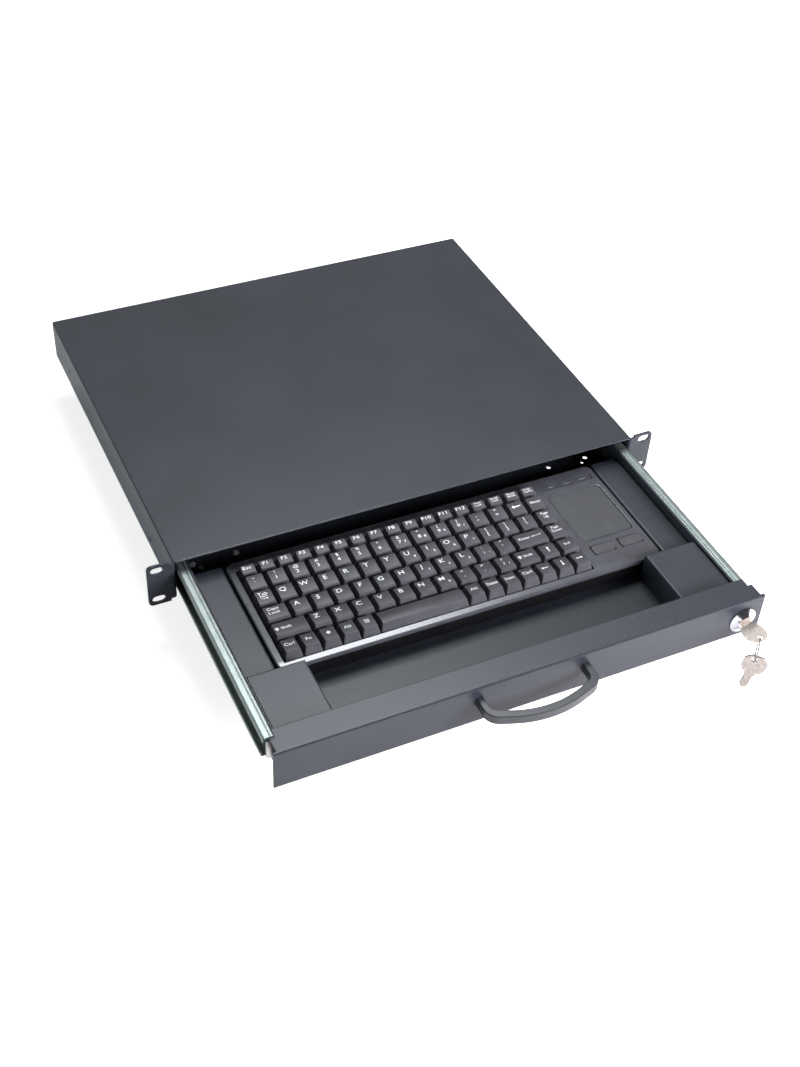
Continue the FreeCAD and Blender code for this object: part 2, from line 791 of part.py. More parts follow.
def make_lock_cam():
    body = at_lock(new_body("lock_cam"))
    half = "(cam_width / 2)"
    blade = rectangle(f"-{half}", f"-{half}", "cam_length", half)
    pad(body, "blade", "XZ_Plane", [blade], plug_end, f"{plug_end} + cam_steel")
    pocket(body, "screw_hole", "XZ_Plane", [(("0", "0"), "plug_bore")], plug_end, f"{plug_end} + cam_steel")
    tips = [("cam_length", None, half), ("cam_length", None, f"-{half}")]
    roots = [(f"-{half}", None, half), (f"-{half}", None, f"-{half}")]
    round_edges(body, "ends", "cam_corner", tips + roots)
    body.Placement.Rotation = FreeCAD.Rotation(FreeCAD.Vector(0, 1, 0), size("cam_rest"))
    return body


def make_cam_screw():
    body = at_lock(new_body("cam_screw"))
    seat = f"({plug_end} + cam_steel)"
    tip = f"({plug_end} - plug_bore_depth + fit_gap)"
    revolve(body, "turned", [
        ("0", tip), ("plug_bore / 2", tip), ("plug_bore / 2", seat), ("cam_screw_head / 2", seat),
        ("cam_screw_head / 2", f"{seat} + cam_screw_head_height"), ("0", f"{seat} + cam_screw_head_height"),
    ])
    return body


def make_strike():
    body = new_body("strike_plate")
    tab = [(inner_face, f"{strike_back} - strike_length"), (inner_face, strike_back),
           (f"{inner_face} - strike_reach", strike_back),
           (f"{inner_face} - strike_reach", f"{strike_back} - strike_steel"),
           (f"{inner_face} - strike_steel", f"{strike_back} - strike_steel"),
           (f"{inner_face} - strike_steel", f"{strike_back} - strike_length")]
    pad(body, "angle", "XY_Plane", [tab], "strike_low", "strike_high")
    return body


shoulder = "(-lock_reach)"
bow_near = f"({shoulder} - neck_length)"
bow_far = f"({bow_near} - bow_length)"
hole_line = f"({bow_far} + bow_hole_back)"


def add_key(body):
    # A flat key: octagonal bow, neck, and a blade with cuts along one edge
    half = "(blade_width / 2)"
    tip = f"({shoulder} + blade_length)"
    bow = "(bow_width / 2)"
    right = [(f"{half} / 3", tip), (half, f"{tip} - blade_point")]
    for cut in range(DRIVING["cut_count"]):
        root = f"({tip} - blade_point - cut_pitch * {cut + 0.5})"
        right.append((half, f"{root} + cut_half"))
        right.append((f"{half} - cut_depth", root))
        right.append((half, f"{root} - cut_half"))
    right += [(half, shoulder), ("neck_width / 2", shoulder), ("neck_width / 2", bow_near),
              (f"{bow} - bow_corner / 2", bow_near), (bow, f"{bow_near} - bow_corner"),
              (bow, f"{bow_far} + bow_corner"), (f"{bow} - bow_corner", bow_far)]
    left = [(f"bow_corner - {bow}", bow_far), (f"-{bow}", f"{bow_far} + bow_corner"),
            (f"-{bow}", f"{bow_near} - bow_corner"), (f"bow_corner / 2 - {bow}", bow_near),
            ("-neck_width / 2", bow_near), ("-neck_width / 2", shoulder), (f"-{half}", shoulder),
            (f"-{half}", f"{tip} - blade_point"), (f"-{half} / 3", tip)]
    pad(body, "plate", "XY_Plane", [right + left], "-key_steel / 2", "key_steel / 2")
    pocket(body, "ring_hole", "XY_Plane", [(("bow_hole_aside", hole_line), "bow_hole")],
           "-key_steel / 2", "key_steel / 2")
    return body


def make_lock_key():
    return add_key(at_lock(new_body("lock_key")))


ring_lift = "(key_steel / 2 + ring_wire / 2 + fit_gap)"
ring_drop = f"(ring_radius - {ring_lift})"
ring_out = f"sqrt(ring_radius ^ 2 - {ring_drop} ^ 2)"
ring_x = f"({lock_side} + bow_hole_aside - {ring_out} * sin(ring_turn))"
ring_y = f"({front} + {hole_line} - {ring_out} * cos(ring_turn))"
ring_z = f"(-lock_height - {ring_drop})"


def make_key_ring():
    ring = doc.addObject("Part::Torus", "key_ring")
    ring.Label = "key_ring"
    bind(ring, "Radius1", "ring_radius")
    bind(ring, "Radius2", "ring_wire / 2")
    ring.Placement.Rotation = FreeCAD.Rotation(-size("ring_turn"), 90, 0)
    place(ring, ring_x, ring_y, ring_z)
    return ring


def make_spare_key():
    # Hangs in the ring by its hole, its flat side across the ring
    body = add_key(new_body("spare_key"))
    turn = FreeCAD.Rotation(FreeCAD.Vector(0, 0, 1), -size("ring_turn"))
    upright = FreeCAD.Rotation(FreeCAD.Vector(1, 0, 0), -90)
    tilt = FreeCAD.Rotation(FreeCAD.Vector(0, 1, 0), size("spare_tilt"))
    flip = FreeCAD.Rotation(FreeCAD.Vector(0, 1, 0), 180)
    rotation = turn * tilt * upright * flip
    hook = FreeCAD.Vector(size(ring_x), size(ring_y), size(f"{ring_z} - ring_radius"))
    drop = FreeCAD.Vector(0, 0, size("ring_wire / 2 + fit_gap - bow_hole / 2"))
    hole = FreeCAD.Vector(size("bow_hole_aside"), size(hole_line), 0)
    body.Placement = FreeCAD.Placement(hook + drop - rotation.multVec(hole), rotation)
    return body


# Keyboard

def make_board_cover():
    body = new_body("keyboard_cover")
    slope = f"({well_front} + slope_start)"
    nose = "(board_top - slope_drop)"
    profile = [(board_front, cover_bottom), ("board_back", cover_bottom), ("board_back", "board_top"),
               (slope, "board_top"), (board_front, nose)]
    pad(body, "plate", "YZ_Plane", [profile], f"-{board_half}", board_half)
    round_edges(body, "slope", "slope_round", [("0", slope, "board_top")])
    corners = [(x, y, None) for x in (board_half, f"-{board_half}") for y in (board_front, "board_back")]
    round_edges(body, "corners", "board_corner", corners)
    round_edges(body, "outline", "board_edge", [("0", board_front, nose)])
    pocket(body, "key_well", "XY_Plane", [rectangle(well_left, well_front, well_right, well_back)],
           cover_bottom, "board_top")
    pocket(body, "pad_seat", "XY_Plane", [around(pad_side, "-pad_row", "pad_width", "pad_length")],
           "board_top - pad_sunk - pad_thick", "board_top")
    seat_corners = corners_of(pad_side, "-pad_row", "pad_width", "pad_length")
    round_edges(body, "pad_seat_corners", "pad_corner + fit_gap", seat_corners)
    window = around(pad_side, "-window_row", "window_width", "window_length")
    pocket(body, "window_seat", "XY_Plane", [window], "board_top - window_thick", "board_top")
    openings = [around(x, "-button_row", "button_width + 2 * button_gap", "button_length + 2 * button_gap")
                for x in button_places]
    pocket(body, "button_openings", "XY_Plane", openings, cover_bottom, "board_top")
    return body


button_places = [f"{pad_side} - button_spacing / 2", f"{pad_side} + button_spacing / 2"]


def around(x, y, wide, long):
    across = f"({wide}) / 2"
    along = f"({long}) / 2"
    return rectangle(f"{x} - {across}", f"{y} - {along}", f"{x} + {across}", f"{y} + {along}")


def corners_of(x, y, wide, long):
    # The four upright edges of a rectangle, as places to round
    return [(across, along, None) for across, along in around(x, y, wide, long)]


def make_board_base():
    body = new_body("keyboard_base")
    side = f"({board_half} - board_inset)"
    near = f"({board_front} + board_inset)"
    far = "(board_back - board_inset)"
    pad(body, "block", "XY_Plane", [rectangle(f"-{side}", near, side, far)], board_bottom, cover_bottom)
    corners = [(x, y, None) for x in (side, f"-{side}") for y in (near, far)]
    round_edges(body, "corners", "board_corner - board_inset", corners)
    cavity = rectangle(f"board_wall - {side}", f"{near} + board_wall",
                       f"{side} - board_wall", f"{far} - board_wall")
    pocket(body, "cavity", "XY_Plane", [cavity], "-mat_floor", cover_bottom)
    return body


def make_feet():
    body = new_body("keyboard_feet")
    side = f"({board_half} - foot_inset)"
    discs = [((x, y), "foot") for x in (side, f"-{side}")
             for y in (f"{board_front} + foot_inset", "board_back - foot_inset")]
    pad(body, "discs", "XY_Plane", discs, "-tray_floor", board_bottom)
    return body


def make_mat():
    body = new_body("contact_mat")
    sheet = rectangle(well_left, well_front, well_right, well_back)
    pad(body, "sheet", "XY_Plane", [sheet], "-mat_floor", "mat_thick - mat_floor")
    return body


def make_touchpad():
    body = new_body("touchpad")
    face = around(pad_side, "-pad_row", "pad_width - 2 * fit_gap", "pad_length - 2 * fit_gap")
    pad(body, "face", "XY_Plane", [face], "board_top - pad_sunk - pad_thick", "board_top - pad_sunk")
    corners = corners_of(pad_side, "-pad_row", "pad_width - 2 * fit_gap", "pad_length - 2 * fit_gap")
    round_edges(body, "corners", "pad_corner", corners)
    return body


def make_window():
    body = new_body("indicator_window")
    face = around(pad_side, "-window_row", "window_width - 2 * fit_gap", "window_length - 2 * fit_gap")
    pad(body, "face", "XY_Plane", [face], "board_top - window_thick", "board_top - fit_gap")
    return body


def make_button(label, x):
    body = new_body(label)
    flange = around(x, "-button_row", "button_width + 4 * button_gap", "button_length + 4 * button_gap")
    low = f"({cover_bottom} - button_gap - button_flange)"
    pad(body, "flange", "XY_Plane", [flange], low, f"{low} + button_flange")
    pad(body, "cap", "XY_Plane", [around(x, "-button_row", "button_width", "button_length")],
        low, "board_top + button_proud")
    corners = corners_of(x, "-button_row", "button_width", "button_length")
    round_edges(body, "corners", "button_corner", corners)
    round_edges(body, "rim", "button_round", [(None, None, "board_top + button_proud")])
    return body


# Keys: each entry is a node with its first key's left edge, row, width, depth, count and tilt

row_depth = "key_row_pitch"
unit = f"({keys_wide} / keys_across)"
small = "small_width"
start = f"(-{keys_left})"
KEYS = []


def key_row(row, depth, tilt, entries):
    # Keys side by side from the left edge of the field; each entry is name, width and count
    left = start
    for label, width, count in entries:
        KEYS.append((label, left, row, width, depth, count, tilt))
        left = f"({left} + {count} * ({width}))"


small_total = "(small_left_count + small_right_count + arrow_count)"
space = f"({keys_wide} - {small_total} * small_width)"
key_row(function_row, "function_depth", "tilt_function",
        [("function_keys", f"{keys_wide} / function_count", DRIVING["function_count"])])
key_row("(-number_row)", row_depth, "tilt_number",
        [("number_keys", unit, DRIVING["number_count"]),
         ("backspace_key", f"(keys_across - number_count - 1) * {unit}", 1), ("home_key", unit, 1)])
key_row("(-number_row - key_row_pitch)", row_depth, "tilt_upper",
        [("tab_key", f"(keys_across - upper_count - 1) * {unit}", 1),
         ("upper_letter_keys", unit, DRIVING["upper_count"]), ("page_up_key", unit, 1)])
key_row("(-number_row - 2 * key_row_pitch)", row_depth, "tilt_middle",
        [("caps_key", f"caps_units * {unit}", 1), ("middle_letter_keys", unit, DRIVING["middle_count"]),
         ("enter_key", f"(keys_across - caps_units - middle_count - 1) * {unit}", 1),
         ("page_down_key", unit, 1)])
key_row("(-number_row - 3 * key_row_pitch)", row_depth, "tilt_lower",
        [("left_shift_key", f"left_shift_units * {unit}", 1),
         ("lower_letter_keys", unit, DRIVING["lower_count"]),
         ("right_shift_key", f"(keys_across - left_shift_units - lower_count - 2) * {unit}", 1),
         ("up_arrow_key", unit, 1), ("end_key", unit, 1)])
key_row(last_row, row_depth, "tilt_last",
        [("left_modifier_keys", small, DRIVING["small_left_count"]), ("space_bar", space, 1),
         ("right_modifier_keys", small, DRIVING["small_right_count"]),
         ("left_arrow_key", small, 1), ("down_arrow_key", small, 1), ("right_arrow_key", small, 1)])


def make_keys(label, left, row, width, depth, count, tilt):
    body = new_body(label)
    half = f"(({width}) / 2 - key_gap / 2)"
    deep = f"(({depth}) / 2 - key_gap / 2)"
    base = new_sketch(body, "skirt", "XY_Plane", "0")
    add_polygon(base, rectangle(f"-{half}", f"-{deep}", half, deep))
    crown_sketch = new_sketch(body, "crown", "XY_Plane", "key_height")
    crown_sketch.AttachmentOffset = FreeCAD.Placement(
        crown_sketch.AttachmentOffset.Base, FreeCAD.Rotation(FreeCAD.Vector(1, 0, 0), size(tilt))
    )
    wide = f"({half} - key_side_draft)"
    face = rectangle(f"-{wide}", f"key_front_draft - {deep}", wide, f"{deep} - key_back_draft")
    add_polygon(crown_sketch, face)
    cap = body.newObject("PartDesign::AdditiveLoft", "cap")
    cap.Profile = base
    cap.Sections = [crown_sketch]
    cap.Ruled = True
    stem = pad(body, "stem", "XY_Plane", [around("0", "0", "stem", "stem")], "-stem_length", "0")
    features = [cap, stem]
    if label != "space_bar":
        hollow = body.newObject("PartDesign::SubtractiveCylinder", "dish")
        bind(hollow, "Radius", "dish_radius")
        bind(hollow, "Height", f"2 * ({depth})")
        hollow.Placement.Rotation = FreeCAD.Rotation(FreeCAD.Vector(1, 0, 0), size(tilt) - 90)
        place(hollow, "0", f"-({depth}) * cos({tilt})",
              f"key_height + dish_radius - dish - ({depth}) * sin({tilt})")
        features.append(hollow)
    if count > 1:
        row_of_keys = pattern(body, "row", features, "X_Axis", str(count), f"({width}) * {count - 1}")
        row_of_keys.TransformMode = "Whole shape"
    place(body, f"{left} + ({width}) / 2", row, skirt_bottom)
    return body


def make_guide():
    # The plate under the keys, with a square hole for every stem
    body = new_body("guide_blank")
    rim = [f"{well_left} - guide_rim", f"{well_front} - guide_rim", f"{well_right} + guide_rim",
           f"{well_back} + guide_rim"]
    low = "(-guide_top - guide_thick)"
    pad(body, "plate", "XY_Plane", [rectangle(*rim)], low, cover_bottom)
    pocket(body, "hollow", "XY_Plane", [rectangle(well_left, well_front, well_right, well_back)],
           "-guide_top", cover_bottom)
    holes = []
    for label, left, row, width, depth, count, tilt in KEYS:
        for number in range(count):
            hole = doc.addObject("Part::Box", "stem_hole")
            bind(hole, "Length", "stem + 2 * stem_gap")
            bind(hole, "Width", "stem + 2 * stem_gap")
            bind(hole, "Height", "guide_thick")
            place(hole, f"{left} + ({width}) * {number + 0.5} - stem / 2 - stem_gap",
                  f"{row} - stem / 2 - stem_gap", low)
            holes.append(hole)
    grid = doc.addObject("Part::Compound", "stem_holes")
    grid.Links = holes
    plate = doc.addObject("Part::Cut", "key_guide_plate")
    plate.Label = "key_guide_plate"
    plate.Base = body
    plate.Tool = grid
    return plate


for right, left_label in (
    (make_side_plate(), "left_side_plate"),
    (make_drawer_rail(), "left_drawer_rail"),
    (make_cabinet_rail(), "left_cabinet_rail"),
    (make_cage(), "left_ball_cage"),
    (make_balls(), "left_balls"),
    (make_palm_plate(), "left_palm_plate"),
    (make_deck(), "left_deck"),
):
    keep(right, mirrored(left_label, right))

keep(make_cover(), make_strike())
keep(make_tray(), make_front_panel(), make_rail_screws(), make_handle(), make_handle_screws())
keep(make_lock_body(), make_lock_nut(), make_lock_plug(), make_lock_cam(), make_cam_screw())
keep(make_lock_key(), make_key_ring(), make_spare_key())
keep(make_board_cover(), make_board_base(), make_feet(), make_mat(), make_guide())
keep(make_touchpad(), make_window())
keep(make_button("left_touch_button", button_places[0]), make_button("right_touch_button", button_places[1]))
for entry in KEYS:
    keep(make_keys(*entry))

doc.recompute()

faults = [f"{thing.Name}: {thing.State}" for thing in doc.Objects
          if {"Invalid", "Error"} & set(thing.State)]
for piece in pieces:
    if piece.Shape.isNull() or not piece.Shape.isValid() or not piece.Shape.Solids:
        faults.append(f"{piece.Label}: no valid shape")
if faults:
    raise RuntimeError("; ".join(faults))

os.makedirs("parts", exist_ok=True)
for piece in pieces:
    piece.Shape.exportStep(f"parts/{piece.Label}.step")
print(f"{len(pieces)} pieces, {sum(len(piece.Shape.Solids) for piece in pieces)} solids")
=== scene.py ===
import math

import bmesh
import bpy
from mathutils import Matrix, Vector


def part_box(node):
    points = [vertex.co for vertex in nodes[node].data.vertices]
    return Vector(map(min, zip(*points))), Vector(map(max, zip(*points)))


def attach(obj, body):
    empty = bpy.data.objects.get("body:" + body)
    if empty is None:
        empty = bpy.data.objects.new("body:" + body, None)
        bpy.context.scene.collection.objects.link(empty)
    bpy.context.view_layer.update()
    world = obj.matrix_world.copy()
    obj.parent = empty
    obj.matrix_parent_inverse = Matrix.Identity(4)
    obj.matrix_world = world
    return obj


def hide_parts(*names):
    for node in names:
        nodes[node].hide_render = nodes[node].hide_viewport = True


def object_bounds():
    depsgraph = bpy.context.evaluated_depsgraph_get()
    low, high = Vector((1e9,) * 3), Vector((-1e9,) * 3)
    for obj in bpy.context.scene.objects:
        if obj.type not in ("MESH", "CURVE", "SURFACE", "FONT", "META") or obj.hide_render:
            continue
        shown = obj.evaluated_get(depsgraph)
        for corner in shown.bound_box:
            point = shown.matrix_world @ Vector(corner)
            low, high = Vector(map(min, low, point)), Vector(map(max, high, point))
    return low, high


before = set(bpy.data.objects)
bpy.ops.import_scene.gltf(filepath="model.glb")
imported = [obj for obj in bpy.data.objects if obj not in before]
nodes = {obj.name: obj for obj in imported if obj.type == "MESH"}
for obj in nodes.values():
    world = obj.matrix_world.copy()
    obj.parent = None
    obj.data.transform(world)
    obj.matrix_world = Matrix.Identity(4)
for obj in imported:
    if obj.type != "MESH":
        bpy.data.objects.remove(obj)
cadLow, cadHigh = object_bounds()
mm = 0.001
print("frame loaded with", len(nodes), "nodes")


# Shader maths: a Flow is a node's output, and sums or products of flows add Math nodes
class Flow:
    def __init__(self, finish, socket):
        self.finish = finish
        self.socket = socket

    def maths(self, operation, *values):
        return self.finish.node("ShaderNodeMath", {"operation": operation}, dict(enumerate(values)))

    def __add__(self, other):
        return self.maths("ADD", self, other)

    def __radd__(self, other):
        return self.maths("ADD", other, self)

    def __sub__(self, other):
        return self.maths("SUBTRACT", self, other)

    def __rsub__(self, other):
        return self.maths("SUBTRACT", other, self)

    def __mul__(self, other):
        return self.maths("MULTIPLY", self, other)

    def __rmul__(self, other):
        return self.maths("MULTIPLY", other, self)


class Finish:
    def __init__(self, tree):
        self.tree = tree
        self.tree.nodes.clear()

    def node(self, kind, settings=None, sockets=None, output=0):
        made = self.tree.nodes.new(kind)
        for key, value in (settings or {}).items():
            setattr(made, key, value)
        for key, value in (sockets or {}).items():
            if isinstance(value, Flow):
                self.tree.links.new(value.socket, made.inputs[key])
            else:
                made.inputs[key].default_value = value
        return Flow(self, made.outputs[output]) if made.outputs else None

    def spot(self, stretch=(1, 1, 1)):
        where = self.node("ShaderNodeTexCoord", output="Object")
        return self.node("ShaderNodeMapping", None, {"Vector": where, "Scale": stretch})

    def noise(self, where, scale, detail=2.0):
        return self.node("ShaderNodeTexNoise", None, {"Vector": where, "Scale": scale, "Detail": detail})

    def band(self, value, low, high):
        return self.node("ShaderNodeMapRange", {"interpolation_type": "SMOOTHSTEP"},
                         {"Value": value, "From Min": low, "From Max": high})

    def tint(self, factor, low, high):
        return self.node("ShaderNodeMix", {"data_type": "RGBA"}, {0: factor, 6: low, 7: high}, 2)

    def relief(self, height, strength, depth, normal=None):
        sockets = {"Height": height, "Strength": strength, "Distance": depth}
        if normal:
            sockets["Normal"] = normal
        return self.node("ShaderNodeBump", None, sockets)

    def soften(self, radius):
        return self.node("ShaderNodeBevel", {"samples": 4}, {"Radius": radius})

    def surface(self, **sockets):
        named = {key.replace("_", " "): value for key, value in sockets.items()}
        shader = self.node("ShaderNodeBsdfPrincipled", None, named)
        self.node("ShaderNodeOutputMaterial", None, {"Surface": shader})


def newFinish(name):
    material = bpy.data.materials.new(name)
    material.use_nodes = True
    return material, Finish(material.node_tree)


def paint(red, green, blue):
    # a colour as a picture editor shows it, made linear
    parts = [part / 255 for part in (red, green, blue)]
    return tuple(part / 12.92 if part <= 0.04045 else ((part + 0.055) / 1.055) ** 2.4 for part in parts) + (1,)


# Finishes
powderCoat = {"dark": paint(24, 27, 33), "light": paint(36, 40, 47), "grain": 1000, "cloud": 14,
              "depth": 0.07 * mm, "edge": 1.0 * mm, "shine": 0.43}


def makePowderCoat(name, values):
    material, finish = newFinish(name)
    where = finish.spot()
    fine = finish.noise(where, values["grain"], 3)
    coarse = finish.noise(where, values["grain"] / 3)
    cloud = finish.noise(where, values["cloud"])
    shade = finish.band(0.55 * fine + 0.2 * coarse + 0.25 * cloud, 0.35, 0.65)
    pores = finish.band(coarse, 0.3, 0.42)
    finish.surface(
        Base_Color=finish.tint(shade, values["dark"], values["light"]),
        Roughness=0.28 + 0.12 * fine + 0.05 * cloud + 0.04 * (1 - pores),
        Specular_IOR_Level=values["shine"],
        Normal=finish.relief(fine + 0.5 * coarse, 0.4, values["depth"], finish.soften(values["edge"])),
    )
    return material


zincPlate = {"dark": paint(100, 114, 111), "light": paint(152, 158, 157), "streaks": (600, 2, 600),
             "bands": (170, 0.5, 170), "spangle": 90, "depth": 0.01 * mm, "edge": 1.6 * mm, "metal": 0.85}


def makeZincPlate(name, values):
    material, finish = newFinish(name)
    drawn = finish.noise(finish.spot(values["streaks"]), 1.0, 3)
    bands = finish.noise(finish.spot(values["bands"]), 1.0, 1)
    spangle = finish.noise(finish.spot(), values["spangle"], 1)
    shade = finish.band(0.5 * bands + 0.35 * drawn + 0.15 * spangle, 0.3, 0.7)
    finish.surface(
        Base_Color=finish.tint(shade, values["dark"], values["light"]),
        Metallic=values["metal"],
        Roughness=0.32 + 0.05 * drawn + 0.03 * spangle,
        Normal=finish.relief(drawn, 0.02, values["depth"], finish.soften(values["edge"])),
    )
    return material


plainMetals = {
    "lock_chrome": {"dark": paint(158, 160, 166), "light": paint(176, 178, 184), "rough": 0.14, "swirl": 260},
    "key_nickel": {"dark": paint(224, 215, 205), "light": paint(236, 228, 219), "rough": 0.24, "swirl": 420,
                   "metal": 0.93},
    # the spare key's nickel: a darker copy of key_nickel, painted shade that keeps its face from washing out in
    # the bright floor reflection
    "shaded_nickel": {"dark": paint(150, 144, 139), "light": paint(167, 161, 156), "rough": 0.28, "swirl": 420},
    "ring_steel": {"dark": paint(92, 91, 90), "light": paint(122, 121, 119), "rough": 0.28, "swirl": 600},
    "tab_nickel": {"dark": paint(196, 194, 193), "light": paint(220, 218, 217), "rough": 0.3, "swirl": 500,
                   "metal": 0.88},
    "plug_nickel": {"dark": paint(214, 204, 198), "light": paint(232, 224, 218), "rough": 0.5, "swirl": 420,
                    "metal": 0.86},
    "ball_steel": {"dark": paint(170, 174, 180), "light": paint(205, 208, 212), "rough": 0.1, "swirl": 600},
    "cage_steel": {"dark": paint(150, 154, 158), "light": paint(188, 191, 194), "rough": 0.3, "swirl": 500},
    "screw_steel": {"dark": paint(120, 123, 128), "light": paint(168, 171, 176), "rough": 0.3, "swirl": 700},
}
metalScratches = {"stretch": (2600, 120, 900), "depth": 0.02 * mm, "edge": 0.2 * mm}


def makePlainMetal(name, values):
    material, finish = newFinish(name)
    scratch = finish.noise(finish.spot(metalScratches["stretch"]), 1.0, 2)
    smear = finish.noise(finish.spot(), values["swirl"], 2)
    finish.surface(
        Base_Color=finish.tint(finish.band(smear, 0.3, 0.7), values["dark"], values["light"]),
        Metallic=values.get("metal", 1.0),
        Roughness=values["rough"] * (0.7 + 0.4 * scratch + 0.3 * smear),
        Normal=finish.relief(scratch, 0.05, metalScratches["depth"], finish.soften(metalScratches["edge"])),
    )
    return material


mouldedParts = {
    "handle_coat": {"dark": paint(30, 32, 36), "light": paint(43, 46, 50), "grain": 2400, "depth": 0.03 * mm,
                    "rough": 0.34, "edge": 0.3 * mm},
    "keyboard_case": {"dark": paint(42, 43, 48), "light": paint(55, 57, 62), "grain": 2600, "depth": 0.05 * mm,
                      "rough": 0.22, "edge": 0.5 * mm, "shine": 0.7},
    # near-black: painted shade, so the keyboard's lower case reads as shaded under its front edge
    "shaded_base_plastic": {"dark": paint(9, 9, 11), "light": paint(17, 17, 19), "grain": 2600, "depth": 0.05 * mm,
                     "rough": 0.5, "edge": 0.5 * mm},
    "guide_plastic": {"dark": paint(14, 14, 16), "light": paint(24, 24, 27), "grain": 2200, "depth": 0.03 * mm,
                      "rough": 0.55, "edge": 0.2 * mm},
    "rubber": {"dark": paint(22, 22, 23), "light": paint(34, 34, 35), "grain": 1800, "depth": 0.06 * mm,
               "rough": 0.75, "edge": 0.3 * mm},
    # mid grey for the left floor plugs: painted shade that stands in for the shadow seen through those holes
    "shade_plug_plastic": {"dark": paint(100, 101, 103), "light": paint(118, 119, 121), "grain": 1500,
                     "depth": 0.03 * mm, "rough": 0.4, "edge": 0.2 * mm},
    "touchpad_skin": {"dark": paint(38, 40, 44), "light": paint(47, 49, 53), "grain": 3600, "depth": 0.02 * mm,
                      "rough": 0.42, "edge": 0.2 * mm},
    "indicator_gloss": {"dark": paint(38, 39, 43), "light": paint(46, 47, 51), "grain": 900, "depth": 0.004 * mm,
                        "rough": 0.26, "edge": 0.2 * mm},
    "button_plastic": {"dark": paint(42, 43, 47), "light": paint(54, 55, 59), "grain": 2800, "depth": 0.03 * mm,
                       "rough": 0.36, "edge": 0.5 * mm},
    "keycap_plastic": {"dark": paint(48, 49, 53), "light": paint(60, 61, 65), "grain": 3000, "depth": 0.035 * mm,
                       "rough": 0.32, "edge": 0.15 * mm, "shine": 0.15},
}


def makeMouldedPart(name, values):
    material, finish = newFinish(name)
    where = finish.spot()
    spark = finish.noise(where, values["grain"], 2)
    cloud = finish.noise(where, values["grain"] / 40, 2)
    shade = finish.band(0.6 * spark + 0.4 * cloud, 0.3, 0.7)
    finish.surface(
        Base_Color=finish.tint(shade, values["dark"], values["light"]),
        Roughness=values["rough"] * (0.8 + 0.3 * spark + 0.1 * cloud),
        Specular_IOR_Level=values.get("shine", 0.5),
        Normal=finish.relief(spark, 0.4, values["depth"], finish.soften(values["edge"])),
    )
    return material


inkColours = {
    "key_ink": (paint(172, 175, 179), paint(196, 198, 201)),
    "mark_ink": (paint(92, 95, 100), paint(118, 121, 126)),
}
inkGrain = 5200


def makeInk(name, colours):
    material, finish = newFinish(name)
    speck = finish.noise(finish.spot(), inkGrain, 2)
    finish.surface(
        Base_Color=finish.tint(finish.band(speck, 0.35, 0.65), *colours),
        Roughness=0.42 + 0.2 * speck,
    )
    return material


finishes = {"charcoal_powder_coat": makePowderCoat("charcoal_powder_coat", powderCoat),
            "rail_zinc": makeZincPlate("rail_zinc", zincPlate)}
for maker, table in ((makePlainMetal, plainMetals), (makeMouldedPart, mouldedParts), (makeInk, inkColours)):
    for name, values in table.items():
        finishes[name] = maker(name, values)
print("finishes made:", len(finishes))

# Which CAD node gets which finish
nodeFinishes = {
    "charcoal_powder_coat": ["top_cover", "left_side_plate", "right_side_plate", "strike_plate", "tray",
                             "front_panel", "left_palm_plate", "right_palm_plate", "left_deck", "right_deck"],
    "rail_zinc": ["left_cabinet_rail", "right_cabinet_rail", "left_drawer_rail", "right_drawer_rail"],
    "cage_steel": ["left_ball_cage", "right_ball_cage"],
    "ball_steel": ["left_balls", "right_balls"],
    "screw_steel": ["rail_screws", "handle_screws", "lock_nut", "lock_cam", "cam_screw"],
    "handle_coat": ["handle"],
    "lock_chrome": ["lock_body"],
    "key_nickel": ["lock_key"],
    "shaded_nickel": ["spare_key"],
    "ring_steel": ["key_ring"],
    "plug_nickel": ["lock_plug"],
    "keyboard_case": ["keyboard_cover"],
    "shaded_base_plastic": ["keyboard_base"],
    "guide_plastic": ["key_guide_plate"],
    "rubber": ["contact_mat", "keyboard_feet"],
    "touchpad_skin": ["touchpad"],
    "indicator_gloss": ["indicator_window"],
    "button_plastic": ["left_touch_button", "right_touch_button"],
}
for finishName, members in nodeFinishes.items():
    for member in members:
        nodes[member].data.materials.clear()
        nodes[member].data.materials.append(finishes[finishName])


def newPiece(name, shape, finishName, body, smoothUnder=40):
    # a finished bmesh becomes an object at the origin that rides on a body
    mesh = bpy.data.meshes.new(name)
    shape.to_mesh(mesh)
    shape.free()
    mesh.polygons.foreach_set("use_smooth", [True] * len(mesh.polygons))
    mesh.set_sharp_from_angle(angle=math.radians(smoothUnder))
    mesh.materials.append(finishes[finishName])
    piece = bpy.data.objects.new(name, mesh)
    bpy.context.scene.collection.objects.link(piece)
    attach(piece, body)
    return piece


def addMesh(shape, mesh):
    # copies a mesh into the shape and gives its new corners
    first = len(shape.verts)
    shape.from_mesh(mesh)
    shape.verts.ensure_lookup_table()
    return shape.verts[first:]


def cornersOf(geometry):
    return [item for item in geometry if isinstance(item, bmesh.types.BMVert)]


# Key caps: drafted sides, rounded corners, a shallow hollow along each top, and a stem under each
capShape = {"gap": 0.64, "skirt": 0.4, "rise": 7.9, "sideDraft": 2.0, "frontDraft": 2.9, "backDraft": 1.3,
            "stem": 4.0, "corner": 1.0, "rim": 0.32, "hollow": 0.25, "hollowEdge": 0.4, "arch": 0.9, "strips": 8,
            "facesUp": 0.8, "smoothUnder": 32}
rowTilts = {"function": 7, "number": 6, "upper": 4, "middle": 1, "lower": -3, "last": -5}


def hollowAt(across, half):
    share = min(1, abs(across) / half)
    return capShape["hollow"] * (1 - share * share)


def facesUp(face):
    return face.normal.z > capShape["facesUp"]


def roundEdges(shape, edges, offset, segments):
    bmesh.ops.bevel(shape, geom=edges, offset=offset, offset_type="OFFSET", affect="EDGES", segments=segments,
                    profile=0.5, material=-1)


